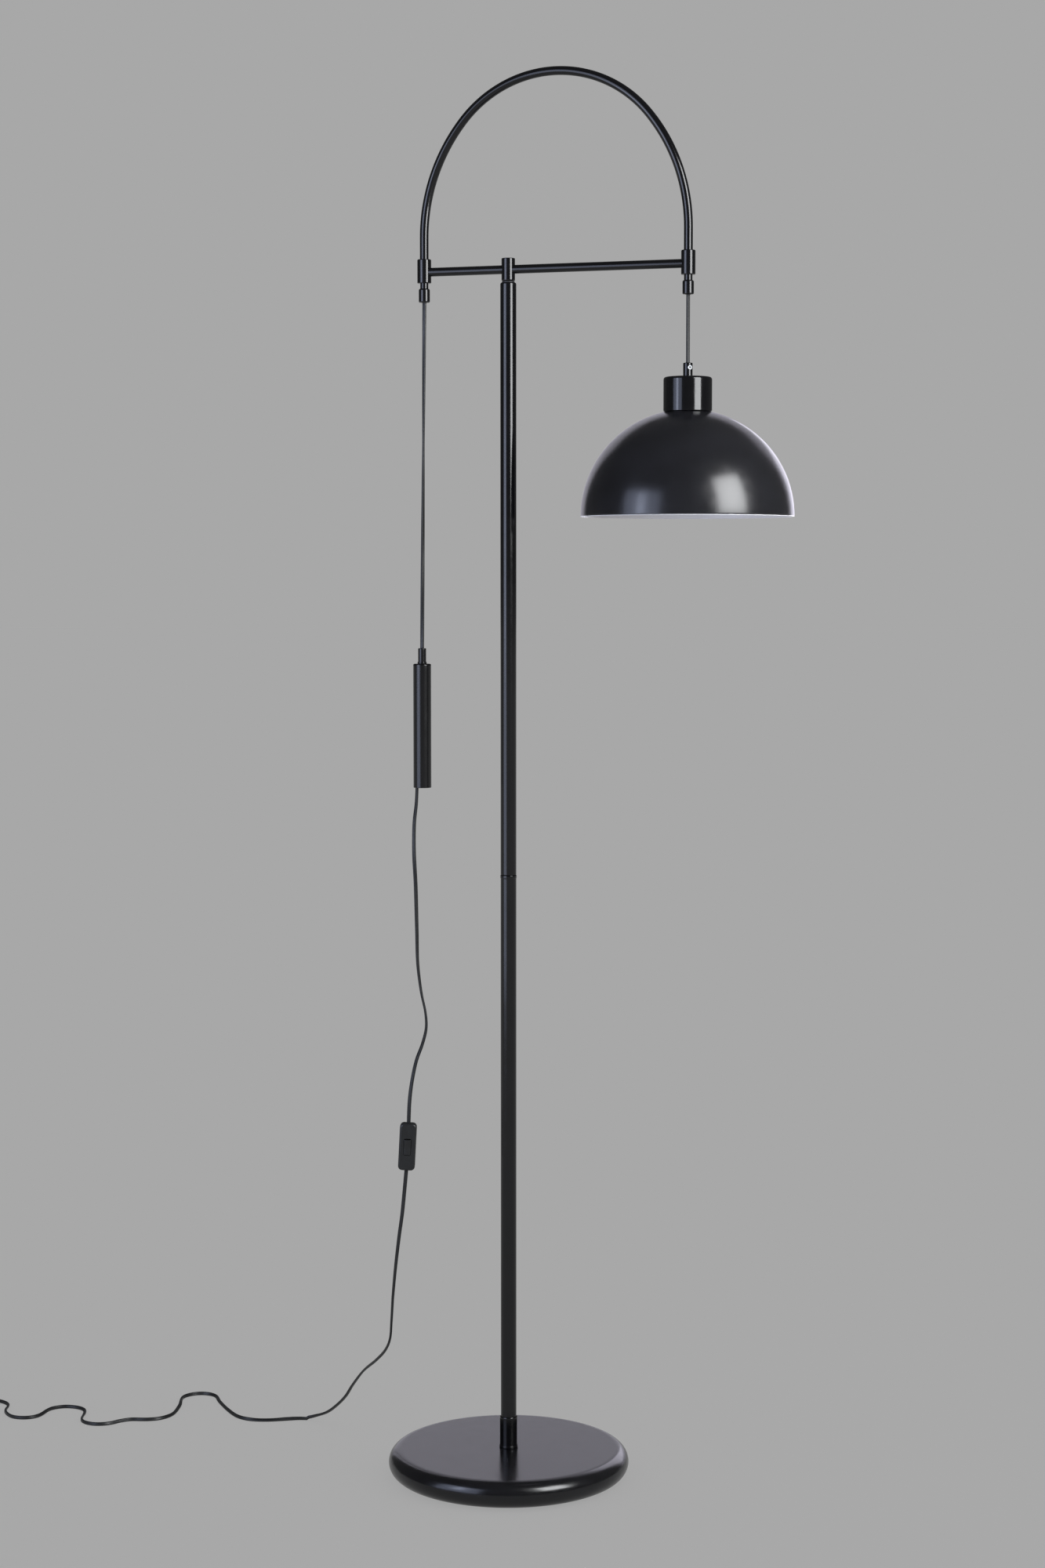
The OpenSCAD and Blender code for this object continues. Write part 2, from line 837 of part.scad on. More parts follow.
base_cover();
base_ballast();
base_plate();
base_pad();
base_bolt();
base_washer();
pole_collar();
pole_foot_plug();
lower_pole();
joint_stud();
joint_insert();
upper_pole();
pole_top_bush();
swivel_washer();
hub();
swivel_stud();
stud_nut();
hub_screw();
crossbar();
arc_tube();
tee(-arm_back, 1);  // back_tee
tee(arm_front, -1);  // front_tee
nipple(-arm_back);  // back_nipple
nipple(arm_front);  // front_nipple
ferrule(-arm_back);  // back_ferrule
ferrule(arm_front);  // front_ferrule
ferrule_bushes();
lead_in_arc();
weight_cable();
shade_cable();
cable_clamp();
clamp_screw();
shade_cap();
cap_nipple();
cap_nut();
shade_dome();
lampholder_body();
lampholder_top();
socket_shell();
socket_contact();
lead_in_shade();
weight_neck();
weight_sleeve();
weight_core();
weight_end_plug();
lead_in_weight();
lead_hanging();
switch_front();
switch_back();
switch_screws();
switch_terminals();
switch_rocker();
lead_below_switch();
lead_to_plug();
lead_coil();
coil_tie();
plug_body();
plug_pins();
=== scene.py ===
"""Looks of a counterbalanced arc floor lamp, built round its CAD model.

Metres, +Z up, origin under the base on the pole's axis. The shade hangs at +X, the counterweight at -X.
"""

import json
import math

import bmesh
import bpy
from bpy.props import FloatProperty, FloatVectorProperty, IntProperty, PointerProperty
from mathutils import Matrix, Vector

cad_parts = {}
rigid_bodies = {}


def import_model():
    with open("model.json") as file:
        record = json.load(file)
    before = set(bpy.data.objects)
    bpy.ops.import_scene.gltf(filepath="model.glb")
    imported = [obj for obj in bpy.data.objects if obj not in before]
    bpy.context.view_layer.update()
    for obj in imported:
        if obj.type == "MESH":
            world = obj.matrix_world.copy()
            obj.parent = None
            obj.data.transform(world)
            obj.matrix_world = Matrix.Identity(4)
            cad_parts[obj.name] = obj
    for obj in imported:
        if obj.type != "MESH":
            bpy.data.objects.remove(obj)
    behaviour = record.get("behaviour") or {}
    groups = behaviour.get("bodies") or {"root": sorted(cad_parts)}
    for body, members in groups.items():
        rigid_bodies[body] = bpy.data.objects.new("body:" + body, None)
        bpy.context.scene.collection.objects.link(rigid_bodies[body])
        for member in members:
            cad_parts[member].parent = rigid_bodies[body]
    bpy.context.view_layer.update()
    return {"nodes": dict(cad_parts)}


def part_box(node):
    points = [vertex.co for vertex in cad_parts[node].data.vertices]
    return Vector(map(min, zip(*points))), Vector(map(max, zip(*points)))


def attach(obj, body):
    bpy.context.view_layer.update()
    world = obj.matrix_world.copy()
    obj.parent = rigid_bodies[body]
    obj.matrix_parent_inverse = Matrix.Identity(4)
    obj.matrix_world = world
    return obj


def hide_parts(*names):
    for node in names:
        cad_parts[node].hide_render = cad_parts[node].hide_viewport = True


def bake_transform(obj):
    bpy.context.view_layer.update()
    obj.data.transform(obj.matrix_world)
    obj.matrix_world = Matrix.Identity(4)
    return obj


bl_info = {
    "name": "Arc floor lamp",
    "version": (1, 0, 0),
    "blender": (4, 5, 0),
    "location": "3D View > Sidebar > Lamp",
    "description": "Builds the looks of a counterbalanced arc floor lamp round its CAD model",
    "category": "Object",
}

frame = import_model()

MM = 0.001
X, Y, Z = Vector((1, 0, 0)), Vector((0, 1, 0)), Vector((0, 0, 1))

# The free lead's route, the same points as its CAD solids follow, in metres
HANGING_ROUTE = [
    (-0.117, 0.0, 0.8397), (-0.118, 0.0, 0.82), (-0.12, -0.002, 0.795), (-0.12, -0.003, 0.76),
    (-0.118, -0.003, 0.72), (-0.117, -0.002, 0.665), (-0.116, -0.002, 0.625), (-0.112, -0.001, 0.59),
    (-0.107, 0.0, 0.565), (-0.106, 0.0, 0.545), (-0.111, 0.0, 0.525), (-0.118, -0.002, 0.505),
    (-0.123, -0.004, 0.48), (-0.126, -0.005, 0.455),
]
BELOW_ROUTE = [
    (-0.132, -0.006, 0.35), (-0.136, -0.005, 0.315), (-0.141, -0.003, 0.285), (-0.147, 0.0, 0.245),
    (-0.153, 0.006, 0.205),
]
PLUG_ROUTE = [
    (-0.153, 0.006, 0.205), (-0.157, 0.012, 0.175), (-0.162, 0.02, 0.15), (-0.173, 0.032, 0.131),
    (-0.192, 0.049, 0.112), (-0.218, 0.073, 0.09), (-0.24, 0.092, 0.065), (-0.254, 0.102, 0.046),
    (-0.27, 0.112, 0.03), (-0.288, 0.122, 0.016), (-0.308, 0.13, 0.007), (-0.326, 0.128, 0.0025),
    (-0.345, 0.119, 0.0025), (-0.368, 0.108, 0.0025), (-0.39, 0.104, 0.0025), (-0.411, 0.112, 0.0025),
    (-0.436, 0.138, 0.0025), (-0.459, 0.166, 0.0025), (-0.475, 0.188, 0.0025), (-0.492, 0.193, 0.0025),
    (-0.507, 0.185, 0.0025), (-0.513, 0.166, 0.0025), (-0.502, 0.132, 0.0025), (-0.495, 0.096, 0.0025),
    (-0.5, 0.074, 0.0025), (-0.514, 0.062, 0.0025), (-0.534, 0.056, 0.0025), (-0.545, 0.046, 0.0025),
    (-0.558, 0.028, 0.0025), (-0.576, 0.022, 0.0025), (-0.595, 0.033, 0.0025), (-0.612, 0.074, 0.0025),
    (-0.638, 0.082, 0.0025), (-0.656, 0.067, 0.0025), (-0.658, 0.033, 0.0025), (-0.67, 0.019, 0.0025),
    (-0.689, 0.019, 0.0025), (-0.708, 0.037, 0.0025), (-0.72, 0.066, 0.0025), (-0.745, 0.078, 0.0025),
    (-0.785, 0.079, 0.0035),
]
TAIL_ROUTE = [
    (-0.785, 0.079, 0.018), (-0.802, 0.08, 0.017), (-0.818, 0.076, 0.013), (-0.829, 0.066, 0.010),
    (-0.834, 0.054, 0.0075), (-0.835, 0.042, 0.007),
]

SWITCH_CENTRE = Vector((-0.1285, -0.006, 0.399))
SWITCH_TURN = math.radians(18)
SWITCH_LEAN = math.radians(3)
SWITCH_WIDTH, SWITCH_LENGTH = 20.6 * MM, 58 * MM
# The two halves of its case meet with a fine gap between them
SHELL_DEPTH, SHELL_GAP = 7 * MM, 0.15 * MM

# A strip as narrow as this at each end of a long flat stretch keeps its smooth shading flat
STRIP = 0.6 * MM

# How bright the studio is beside its backdrop, as the lamp and the floor receive it
STUDIO_LIGHT = 0.25
# How much of the light that falls on it the floor gives back
FLOOR_SHARE = 0.6


def linear(colour):
    """The linear RGBA of an sRGB hex colour."""
    parts = [int(colour[i : i + 2], 16) / 255 for i in (1, 3, 5)]
    return [c / 12.92 if c <= 0.04045 else ((c + 0.055) / 1.055) ** 2.4 for c in parts] + [1.0]


class LampSizes(bpy.types.PropertyGroup):
    """Sizes that the CAD model doesn't give."""

    lead_width: FloatProperty(name="Lead width", description="Width of the flat twin lead",
                              default=4.8 * MM, unit="LENGTH")
    lead_thickness: FloatProperty(name="Lead thickness", description="Thickness of the flat twin lead",
                                  default=3.0 * MM, unit="LENGTH")
    coil_turns: IntProperty(name="Coil turns", description="Turns of stored lead beside the plug",
                            default=3)
    coil_radius: FloatProperty(name="Coil radius", description="Radius at the middle of the coil's turns",
                               default=29 * MM, unit="LENGTH")
    sheet: FloatProperty(name="Sheet thickness", description="Sheet thickness of the base cover and the dome",
                         default=1.2 * MM, unit="LENGTH")
    arch_spring: FloatProperty(name="Arch spring height", description="Height where the arch starts to bend",
                               default=1.5, unit="LENGTH")
    crown_radius: FloatProperty(name="Crown radius", description="Bend radius of the arch's crown",
                                default=149 * MM, unit="LENGTH")
    steps: IntProperty(name="Steps", description="Steps round each turned piece", default=96)
    orange_peel: FloatProperty(name="Orange peel", description="Distance between the waves in the enamel",
                               default=1.6 * MM, unit="LENGTH")


class LampColours(bpy.types.PropertyGroup):
    """Colours of the lamp and its stage."""

    enamel: FloatVectorProperty(name="Enamel", description="Black enamel of the metal parts",
                                default=linear("#0b0b0d"), size=4, subtype="COLOR")
    inside: FloatVectorProperty(name="Inside", description="White enamel inside the dome",
                                default=linear("#f2f1f4"), size=4, subtype="COLOR")
    plastic: FloatVectorProperty(name="Plastic", description="Black plastic of switch and plug",
                                 default=linear("#1c1d1e"), size=4, subtype="COLOR")
    sheath: FloatVectorProperty(name="Sheath", description="Black PVC sheath of the lead",
                                default=linear("#141516"), size=4, subtype="COLOR")
    backdrop: FloatVectorProperty(name="Backdrop", description="Plain grey of the floor and the backdrop",
                                  default=linear("#a8a8a8"), size=4, subtype="COLOR")


# --- materials ---


def connect(node, inputs):
    """Sets a node's inputs, or links them to a socket or to another node's first output."""
    for name, value in inputs.items():
        if isinstance(value, bpy.types.Node):
            value = value.outputs[0]
        if isinstance(value, bpy.types.NodeSocket):
            node.id_data.links.new(value, node.inputs[name])
        else:
            node.inputs[name].default_value = value


def add_node(tree, kind, inputs=None, stops=(), **settings):
    """Adds a node with its settings, its inputs set or linked, and the stops of its colour ramp."""
    made = tree.nodes.new("ShaderNode" + kind)
    for name, value in settings.items():
        setattr(made, name, value)
    connect(made, inputs or {})
    for stop, (position, colour) in enumerate(stops):
        made.color_ramp.elements[stop].position = position
        made.color_ramp.elements[stop].color = colour
    return made


def new_material(name):
    """A new material, its node tree, its socket of object coordinates and its shader."""
    made = bpy.data.materials.new(name)
    made.use_nodes = True
    tree = made.node_tree
    tree.nodes.clear()
    shader = add_node(tree, "BsdfPrincipled")
    add_node(tree, "OutputMaterial", {"Surface": shader})
    return made, tree, add_node(tree, "TexCoord").outputs["Object"], shader


def shaded(colour, factor):
    """A colour made lighter or darker, in linear light."""
    return [min(1.0, c * factor) for c in colour[:3]] + [1.0]


def stove_enamel(name, colour, gloss):
    """Stove enamel, sprayed and baked: a deep even black with a faint orange peel in its reflections."""
    made, tree, place, shader = new_material(name)
    spacing = bpy.context.scene.lamp_sizes.orange_peel
    # The film is a little thicker here and thinner there, over patches of some 40 mm
    film = add_node(tree, "TexNoise", {"Vector": place, "Scale": 1 / (40 * MM)})
    tone = add_node(tree, "ValToRGB", {"Fac": film},
                    [(0.35, shaded(colour, 0.85)), (0.65, shaded(colour, 1.2))])
    peel = add_node(tree, "TexNoise", {"Vector": place, "Scale": 1 / spacing, "Detail": 1.0})
    waves = add_node(tree, "Bump", {"Height": peel, "Distance": 0.003 * MM})
    # Dust nibs under the film, drawn coarse enough to show
    dust = add_node(tree, "TexNoise", {"Vector": place, "Scale": 1 / (2.5 * MM), "Detail": 4.0,
                                       "Roughness": 0.7})
    nibs = add_node(tree, "MapRange", {"Value": dust, "From Min": 0.7, "From Max": 0.8})
    relief = add_node(tree, "Bump", {"Height": nibs, "Distance": 0.01 * MM, "Strength": 0.4, "Normal": waves})
    # Wiping leaves it duller in patches
    wiped = add_node(tree, "TexNoise", {"Vector": place, "Scale": 1 / (14 * MM), "Detail": 3.0,
                                        "Roughness": 0.6})
    sheen = add_node(tree, "MapRange", {"Value": wiped, "From Min": 0.3, "From Max": 0.7,
                                        "To Min": gloss - 0.03, "To Max": gloss + 0.03})
    connect(shader, {"Base Color": tone, "Roughness": sheen, "IOR": 1.5, "Normal": relief})
    return made


def white_enamel(name, colour):
    """White reflector enamel inside the dome: bright, with a satin gloss, a shade darker where it is thin."""
    made, tree, place, shader = new_material(name)
    spacing = bpy.context.scene.lamp_sizes.orange_peel
    film = add_node(tree, "TexNoise", {"Vector": place, "Scale": 1 / (30 * MM)})
    tone = add_node(tree, "ValToRGB", {"Fac": film}, [(0.35, shaded(colour, 0.98)), (0.65, colour)])
    sheen = add_node(tree, "MapRange", {"Value": film, "From Min": 0.3, "From Max": 0.7,
                                        "To Min": 0.32, "To Max": 0.4})
    peel = add_node(tree, "TexNoise", {"Vector": place, "Scale": 1 / spacing, "Detail": 1.0})
    relief = add_node(tree, "Bump", {"Height": peel, "Distance": 0.015 * MM})
    connect(shader, {"Base Color": tone, "Roughness": sheen, "IOR": 1.5, "Normal": relief})
    return made


def zinc_plate(name, colour):
    """Bright zinc plating on steel screws: silver with a faint grain and dull patches."""
    made, tree, place, shader = new_material(name)
    grain = add_node(tree, "TexNoise", {"Vector": place, "Scale": 1 / (0.5 * MM), "Detail": 3.0,
                                        "Roughness": 0.6})
    patch = add_node(tree, "TexNoise", {"Vector": place, "Scale": 1 / (3 * MM)})
    tone = add_node(tree, "ValToRGB", {"Fac": patch}, [(0.35, shaded(colour, 0.8)), (0.65, colour)])
    sheen = add_node(tree, "MapRange", {"Value": grain, "From Min": 0.3, "From Max": 0.7,
                                        "To Min": 0.42, "To Max": 0.55})
    relief = add_node(tree, "Bump", {"Height": grain, "Distance": 0.01 * MM})
    connect(shader, {"Base Color": tone, "Roughness": sheen, "Metallic": 1.0, "Normal": relief})
    return made


def machined_steel(name, colour):
    """Turned mild steel, oiled and unpainted: grey with fine lathe rings along Z."""
    made, tree, place, shader = new_material(name)
    # A wave texture has a band every 1/20 of its unit; the tool's feed is 0.4 mm
    rings = add_node(tree, "TexWave", {"Vector": place, "Scale": 1 / (20 * 0.4 * MM), "Distortion": 0.6,
                                       "Detail": 2.0}, bands_direction="Z")
    stain = add_node(tree, "TexNoise", {"Vector": place, "Scale": 1 / (9 * MM), "Detail": 3.0,
                                        "Roughness": 0.6})
    tone = add_node(tree, "ValToRGB", {"Fac": stain}, [(0.35, shaded(colour, 0.7)), (0.65, colour)])
    sheen = add_node(tree, "MapRange", {"Value": stain, "From Min": 0.3, "From Max": 0.7,
                                        "To Min": 0.3, "To Max": 0.45})
    relief = add_node(tree, "Bump", {"Height": rings.outputs[1], "Distance": 0.02 * MM})
    connect(shader, {"Base Color": tone, "Roughness": sheen, "Metallic": 1.0, "Normal": relief})
    return made


def cast_iron(name, colour):
    """Sand-cast grey iron: dark, matt, with the grain of the sand and a little rust."""
    made, tree, place, shader = new_material(name)
    sand = add_node(tree, "TexNoise", {"Vector": place, "Scale": 1 / (1.2 * MM), "Detail": 4.0,
                                       "Roughness": 0.65})
    rust = add_node(tree, "TexNoise", {"Vector": place, "Scale": 1 / (18 * MM), "Detail": 4.0,
                                       "Roughness": 0.6})
    tone = add_node(tree, "ValToRGB", {"Fac": rust}, [(0.3, linear("#4a3a30")), (0.48, colour)])
    sheen = add_node(tree, "MapRange", {"Value": sand, "From Min": 0.3, "From Max": 0.7,
                                        "To Min": 0.65, "To Max": 0.85})
    relief = add_node(tree, "Bump", {"Height": sand, "Distance": 0.25 * MM})
    connect(shader, {"Base Color": tone, "Roughness": sheen, "IOR": 1.6, "Normal": relief})
    return made


def brass_sheet(name, colour):
    """Stamped brass sheet, bare: yellow, a little tarnished in patches."""
    made, tree, place, shader = new_material(name)
    tarnish = add_node(tree, "TexNoise", {"Vector": place, "Scale": 1 / (5 * MM), "Detail": 3.0,
                                          "Roughness": 0.6})
    tone = add_node(tree, "ValToRGB", {"Fac": tarnish}, [(0.35, shaded(colour, 0.6)), (0.65, colour)])
    sheen = add_node(tree, "MapRange", {"Value": tarnish, "From Min": 0.3, "From Max": 0.7,
                                        "To Min": 0.22, "To Max": 0.4})
    grain = add_node(tree, "TexNoise", {"Vector": place, "Scale": 1 / (0.8 * MM)})
    relief = add_node(tree, "Bump", {"Height": grain, "Distance": 0.01 * MM})
    connect(shader, {"Base Color": tone, "Roughness": sheen, "Metallic": 1.0, "Normal": relief})
    return made


def moulded_plastic(name, colour, roughness):
    """Injection-moulded plastic from a spark-eroded mould: satin, with a fine even grain."""
    made, tree, place, shader = new_material(name)
    # The real grain is near 0.1 mm; it is drawn three times as coarse so that it shows
    sparks = add_node(tree, "TexNoise", {"Vector": place, "Scale": 1 / (0.35 * MM), "Roughness": 0.7})
    flow = add_node(tree, "TexNoise", {"Vector": place, "Scale": 1 / (12 * MM)})
    tone = add_node(tree, "ValToRGB", {"Fac": flow},
                    [(0.35, shaded(colour, 0.85)), (0.65, shaded(colour, 1.15))])
    sheen = add_node(tree, "MapRange", {"Value": sparks, "From Min": 0.3, "From Max": 0.7,
                                        "To Min": roughness - 0.06, "To Max": roughness + 0.08})
    relief = add_node(tree, "Bump", {"Height": sparks, "Distance": 0.03 * MM})
    connect(shader, {"Base Color": tone, "Roughness": sheen, "IOR": 1.5, "Normal": relief})
    return made


def pvc_sheath(name, colour):
    """Extruded soft PVC: dull black with a soft sheen, faintly wavy from the extruder."""
    made, tree, place, shader = new_material(name)
    wave = add_node(tree, "TexNoise", {"Vector": place, "Scale": 1 / (4 * MM)})
    skin = add_node(tree, "TexNoise", {"Vector": place, "Scale": 1 / (0.4 * MM), "Roughness": 0.6})
    patch = add_node(tree, "TexNoise", {"Vector": place, "Scale": 1 / (25 * MM)})
    tone = add_node(tree, "ValToRGB", {"Fac": patch},
                    [(0.35, shaded(colour, 0.85)), (0.65, shaded(colour, 1.2))])
    sheen = add_node(tree, "MapRange", {"Value": wave, "From Min": 0.3, "From Max": 0.7,
                                        "To Min": 0.36, "To Max": 0.46})
    waves = add_node(tree, "Bump", {"Height": wave, "Distance": 0.05 * MM})
    relief = add_node(tree, "Bump", {"Height": skin, "Distance": 0.015 * MM, "Normal": waves})
    connect(shader, {"Base Color": tone, "Roughness": sheen, "IOR": 1.52, "Sheen Weight": 0.05,
                     "Normal": relief})
    return made


def foam_sheet(name, colour):
    """Closed-cell EVA foam, die cut: matt dark grey with small open cells."""
    made, tree, place, shader = new_material(name)
    cells = add_node(tree, "TexVoronoi", {"Vector": place, "Scale": 1 / (0.9 * MM)})
    patch = add_node(tree, "TexNoise", {"Vector": place, "Scale": 1 / (20 * MM)})
    tone = add_node(tree, "ValToRGB", {"Fac": patch}, [(0.35, shaded(colour, 0.8)), (0.65, colour)])
    relief = add_node(tree, "Bump", {"Height": cells, "Distance": 0.12 * MM})
    connect(shader, {"Base Color": tone, "Roughness": 0.85, "IOR": 1.45, "Normal": relief})
    return made


def floor_paint(name, colour):
    """Plain matt paint of the studio floor, even in tone, with only a soft shade under what stands on it."""
    made, _, _, shader = new_material(name)
    # Its own light makes up what the dimmed studio leaves, so that it meets the backdrop without a line
    glow = shaded(colour, 1 - FLOOR_SHARE * STUDIO_LIGHT)
    connect(shader, {"Base Color": [FLOOR_SHARE] * 3 + [1.0], "Roughness": 1.0,
                     "Specular IOR Level": 0.0, "Emission Color": glow, "Emission Strength": 1.0})
    return made


# How each material is made from its own name and the lamp's colours
FINISHES = {
    "black_stove_enamel": lambda name, c: stove_enamel(name, c.enamel, 0.14),
    "dome_stove_enamel": lambda name, c: stove_enamel(name, shaded(c.enamel, 2.2), 0.21),
    "satin_stove_enamel": lambda name, c: stove_enamel(name, c.enamel, 0.2),
    "white_reflector_enamel": lambda name, c: white_enamel(name, c.inside),
    "moulded_abs": lambda name, c: moulded_plastic(name, c.plastic, 0.36),
    "moulded_phenolic": lambda name, c: moulded_plastic(name, shaded(c.plastic, 0.7), 0.3),
    "moulded_nylon": lambda name, c: moulded_plastic(name, linear("#3a3a3c"), 0.5),
    "pvc_tie_strip": lambda name, c: moulded_plastic(name, linear("#202122"), 0.4),
    "eva_foam": lambda name, c: foam_sheet(name, linear("#39393b")),
    "extruded_pvc": lambda name, c: pvc_sheath(name, c.sheath),
    "zinc_plated_steel": lambda name, c: zinc_plate(name, linear("#a9acb0")),
    "turned_steel": lambda name, c: machined_steel(name, linear("#9a9da1")),
    "sand_cast_iron": lambda name, c: cast_iron(name, linear("#4b4a48")),
    "stamped_brass": lambda name, c: brass_sheet(name, linear("#c2a253")),
    "studio_floor_paint": lambda name, c: floor_paint(name, c.backdrop),
}


def finish_of(name):
    """The material of that name, made when the first piece needs it."""
    return bpy.data.materials.get(name) or FINISHES[name](name, bpy.context.scene.lamp_colours)


# --- mesh work ---


def add_piece(name, bm, finishes, sharp=40):
    """A smooth-shaded object from a bmesh, with its finishes in order."""
    mesh = bpy.data.meshes.new(name)
    bm.to_mesh(mesh)
    bm.free()
    mesh.shade_smooth()
    mesh.set_sharp_from_angle(angle=math.radians(sharp))
    for finish in finishes:
        mesh.materials.append(finish_of(finish))
    made = bpy.data.objects.new(name, mesh)
    bpy.context.scene.collection.objects.link(made)
    return made


def stand_for(piece, body, slot, *nodes):
    """The piece rides on the body in place of the CAD nodes, which it hides; the slot is not used."""
    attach(piece, body)
    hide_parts(*nodes)
    return piece


def outward(bm, dist=1e-7):
    """Merges doubles and turns all faces outwards."""
    bmesh.ops.remove_doubles(bm, verts=bm.verts, dist=dist)
    bmesh.ops.recalc_face_normals(bm, faces=bm.faces)


def turned(bm, outline, closed=False, steps=None, segments=5):
    """Spins an outline of (radius, height, rounding of that corner) about Z, in an empty bmesh."""
    corners = [(bm.verts.new((p[0], 0, p[1])), p[2] if len(p) > 2 else 0) for p in outline]
    verts = [vert for vert, _ in corners]
    for a, b in zip(verts, verts[1:] + verts[:1] * closed):
        bm.edges.new((a, b))
    for vert, rounding in corners:
        if rounding:
            bmesh.ops.bevel(bm, geom=[vert], offset=rounding, affect="VERTICES", segments=segments,
                            profile=0.5, material=-1)
    for edge in bm.edges[:]:
        length = edge.calc_length()
        if length > 5 * MM:
            _, near = bmesh.utils.edge_split(edge, edge.verts[0], STRIP / length)
            rest = max(near.link_edges, key=lambda e: e.calc_length())
            bmesh.utils.edge_split(rest, near, 1 - STRIP / rest.calc_length())
    bmesh.ops.spin(bm, geom=bm.verts[:] + bm.edges[:], cent=(0, 0, 0), axis=Z, dvec=(0, 0, 0),
                   angle=math.tau, steps=steps or bpy.context.scene.lamp_sizes.steps, use_merge=True,
                   use_normal_flip=False, use_duplicate=False)


def arc(centre_r, centre_z, radius, start, end, steps):
    """Points of a round stretch of an outline, from start to end in degrees."""
    angles = [math.radians(start + (end - start) * i / steps) for i in range(steps + 1)]
    return [(centre_r + radius * math.cos(a), centre_z + radius * math.sin(a)) for a in angles]


def turned_size(node):
    """A turned CAD node's axis, outer radius, bottom and top."""
    low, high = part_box(node)
    return Vector(((low.x + high.x) / 2, (low.y + high.y) / 2, 0)), (high.x - low.x) / 2, low.z, high.z


def turned_piece(name, node, outline, at, body, slot="black_enamel", finish="black_stove_enamel",
                 closed=True, steps=None, segments=5):
    """A turned piece on the vertical axis through at, which stands for a CAD node."""
    bm = bmesh.new()
    turned(bm, outline, closed, steps, segments)
    outward(bm)
    bmesh.ops.translate(bm, verts=bm.verts, vec=(at.x, at.y, 0))
    stand_for(add_piece(name, bm, [finish]), body, slot, node)


def rounded_rectangle(bm, width, height, corner, segments=6):
    """A flat face with round corners, in the XY plane."""
    bmesh.ops.create_grid(bm, x_segments=1, y_segments=1, size=0.5)
    bmesh.ops.scale(bm, vec=(width, height, 1), verts=bm.verts)
    bmesh.ops.bevel(bm, geom=bm.verts[:], offset=corner, affect="VERTICES", segments=segments,
                    profile=0.5, material=-1)


def extruded(bm, edges):
    """Extrudes a ring of edges in place, and gives the new vertices and the new ring."""
    grown = bmesh.ops.extrude_edge_only(bm, edges=edges)["geom"]
    verts = [g for g in grown if isinstance(g, bmesh.types.BMVert)]
    known = set(verts)
    return verts, [g for g in grown if isinstance(g, bmesh.types.BMEdge) and set(g.verts) <= known]


def grown_ring(bm, edges, lift, scale_x=1.0, scale_y=1.0):
    """Extrudes a ring of edges, lifted along Z and scaled about the Z axis, and gives the new ring."""
    verts, new_edges = extruded(bm, edges)
    bmesh.ops.scale(bm, vec=(scale_x, scale_y, 1), verts=verts)
    bmesh.ops.translate(bm, vec=(0, 0, lift), verts=verts)
    return new_edges


def swept(bm, section, places):
    """A section of (across, up) points carried along places, a list of matrices, with both ends closed."""
    ring = [bm.verts.new(places[0] @ Vector((a, u, 0))) for a, u in section]
    edges = [bm.edges.new((a, b)) for a, b in zip(ring, ring[1:] + ring[:1])]
    bmesh.ops.contextual_create(bm, geom=edges)
    for here, there in zip(places, places[1:]):
        verts, edges = extruded(bm, edges)
        bmesh.ops.transform(bm, matrix=there @ here.inverted(), verts=verts)
    bmesh.ops.contextual_create(bm, geom=edges)


def twin_section(width, thickness, steps=9):
    """The section of a flat twin lead: two round cores side by side with a shallow groove between."""
    radius = thickness / 2
    offset = width / 2 - radius
    waist = math.acos(-offset / radius)
    points = []
    for side in (1, -1):
        for i in range(steps):
            angle = -waist + 2 * waist * i / steps
            points.append((side * (offset + radius * math.cos(angle)), side * radius * math.sin(angle)))
    return points


# --- the lead ---


def smooth_route(route, spacing=3 * MM):
    """Evenly spaced points on a smooth curve through a route's points."""
    points = [Vector(p) for p in route]
    dense = []
    for i in range(len(points) - 1):
        a, b, c, d = points[max(0, i - 1)], points[i], points[i + 1], points[min(len(points) - 1, i + 2)]
        for k in range(24):
            t = k / 24
            dense.append(0.5 * (2 * b + (c - a) * t + (2 * a - 5 * b + 4 * c - d) * t * t
                                + (3 * b - a - 3 * c + d) * t**3))
    dense.append(points[-1])
    return evenly(dense, spacing)


def evenly(dense, spacing):
    """The points of a line, spaced evenly along it."""
    total = sum((b - a).length for a, b in zip(dense, dense[1:]))
    count = max(2, round(total / spacing))
    step, walked, out = total / count, 0.0, [dense[0]]
    for a, b in zip(dense, dense[1:]):
        length = (b - a).length
        while len(out) < count and walked + length >= step * len(out):
            out.append(a.lerp(b, (step * len(out) - walked) / length))
        walked += length
    return out + [dense[-1]]


def bend_at(points, i, reach=4):
    """How tightly a line of points bends at one of them, in radians a metre, over a few points each way."""
    if i in (0, len(points) - 1):
        return 0.0
    before, after = points[max(0, i - reach)], points[min(len(points) - 1, i + reach)]
    turn = (after - points[i]).normalized() - (points[i] - before).normalized()
    return turn.length / ((after - before).length / 2)


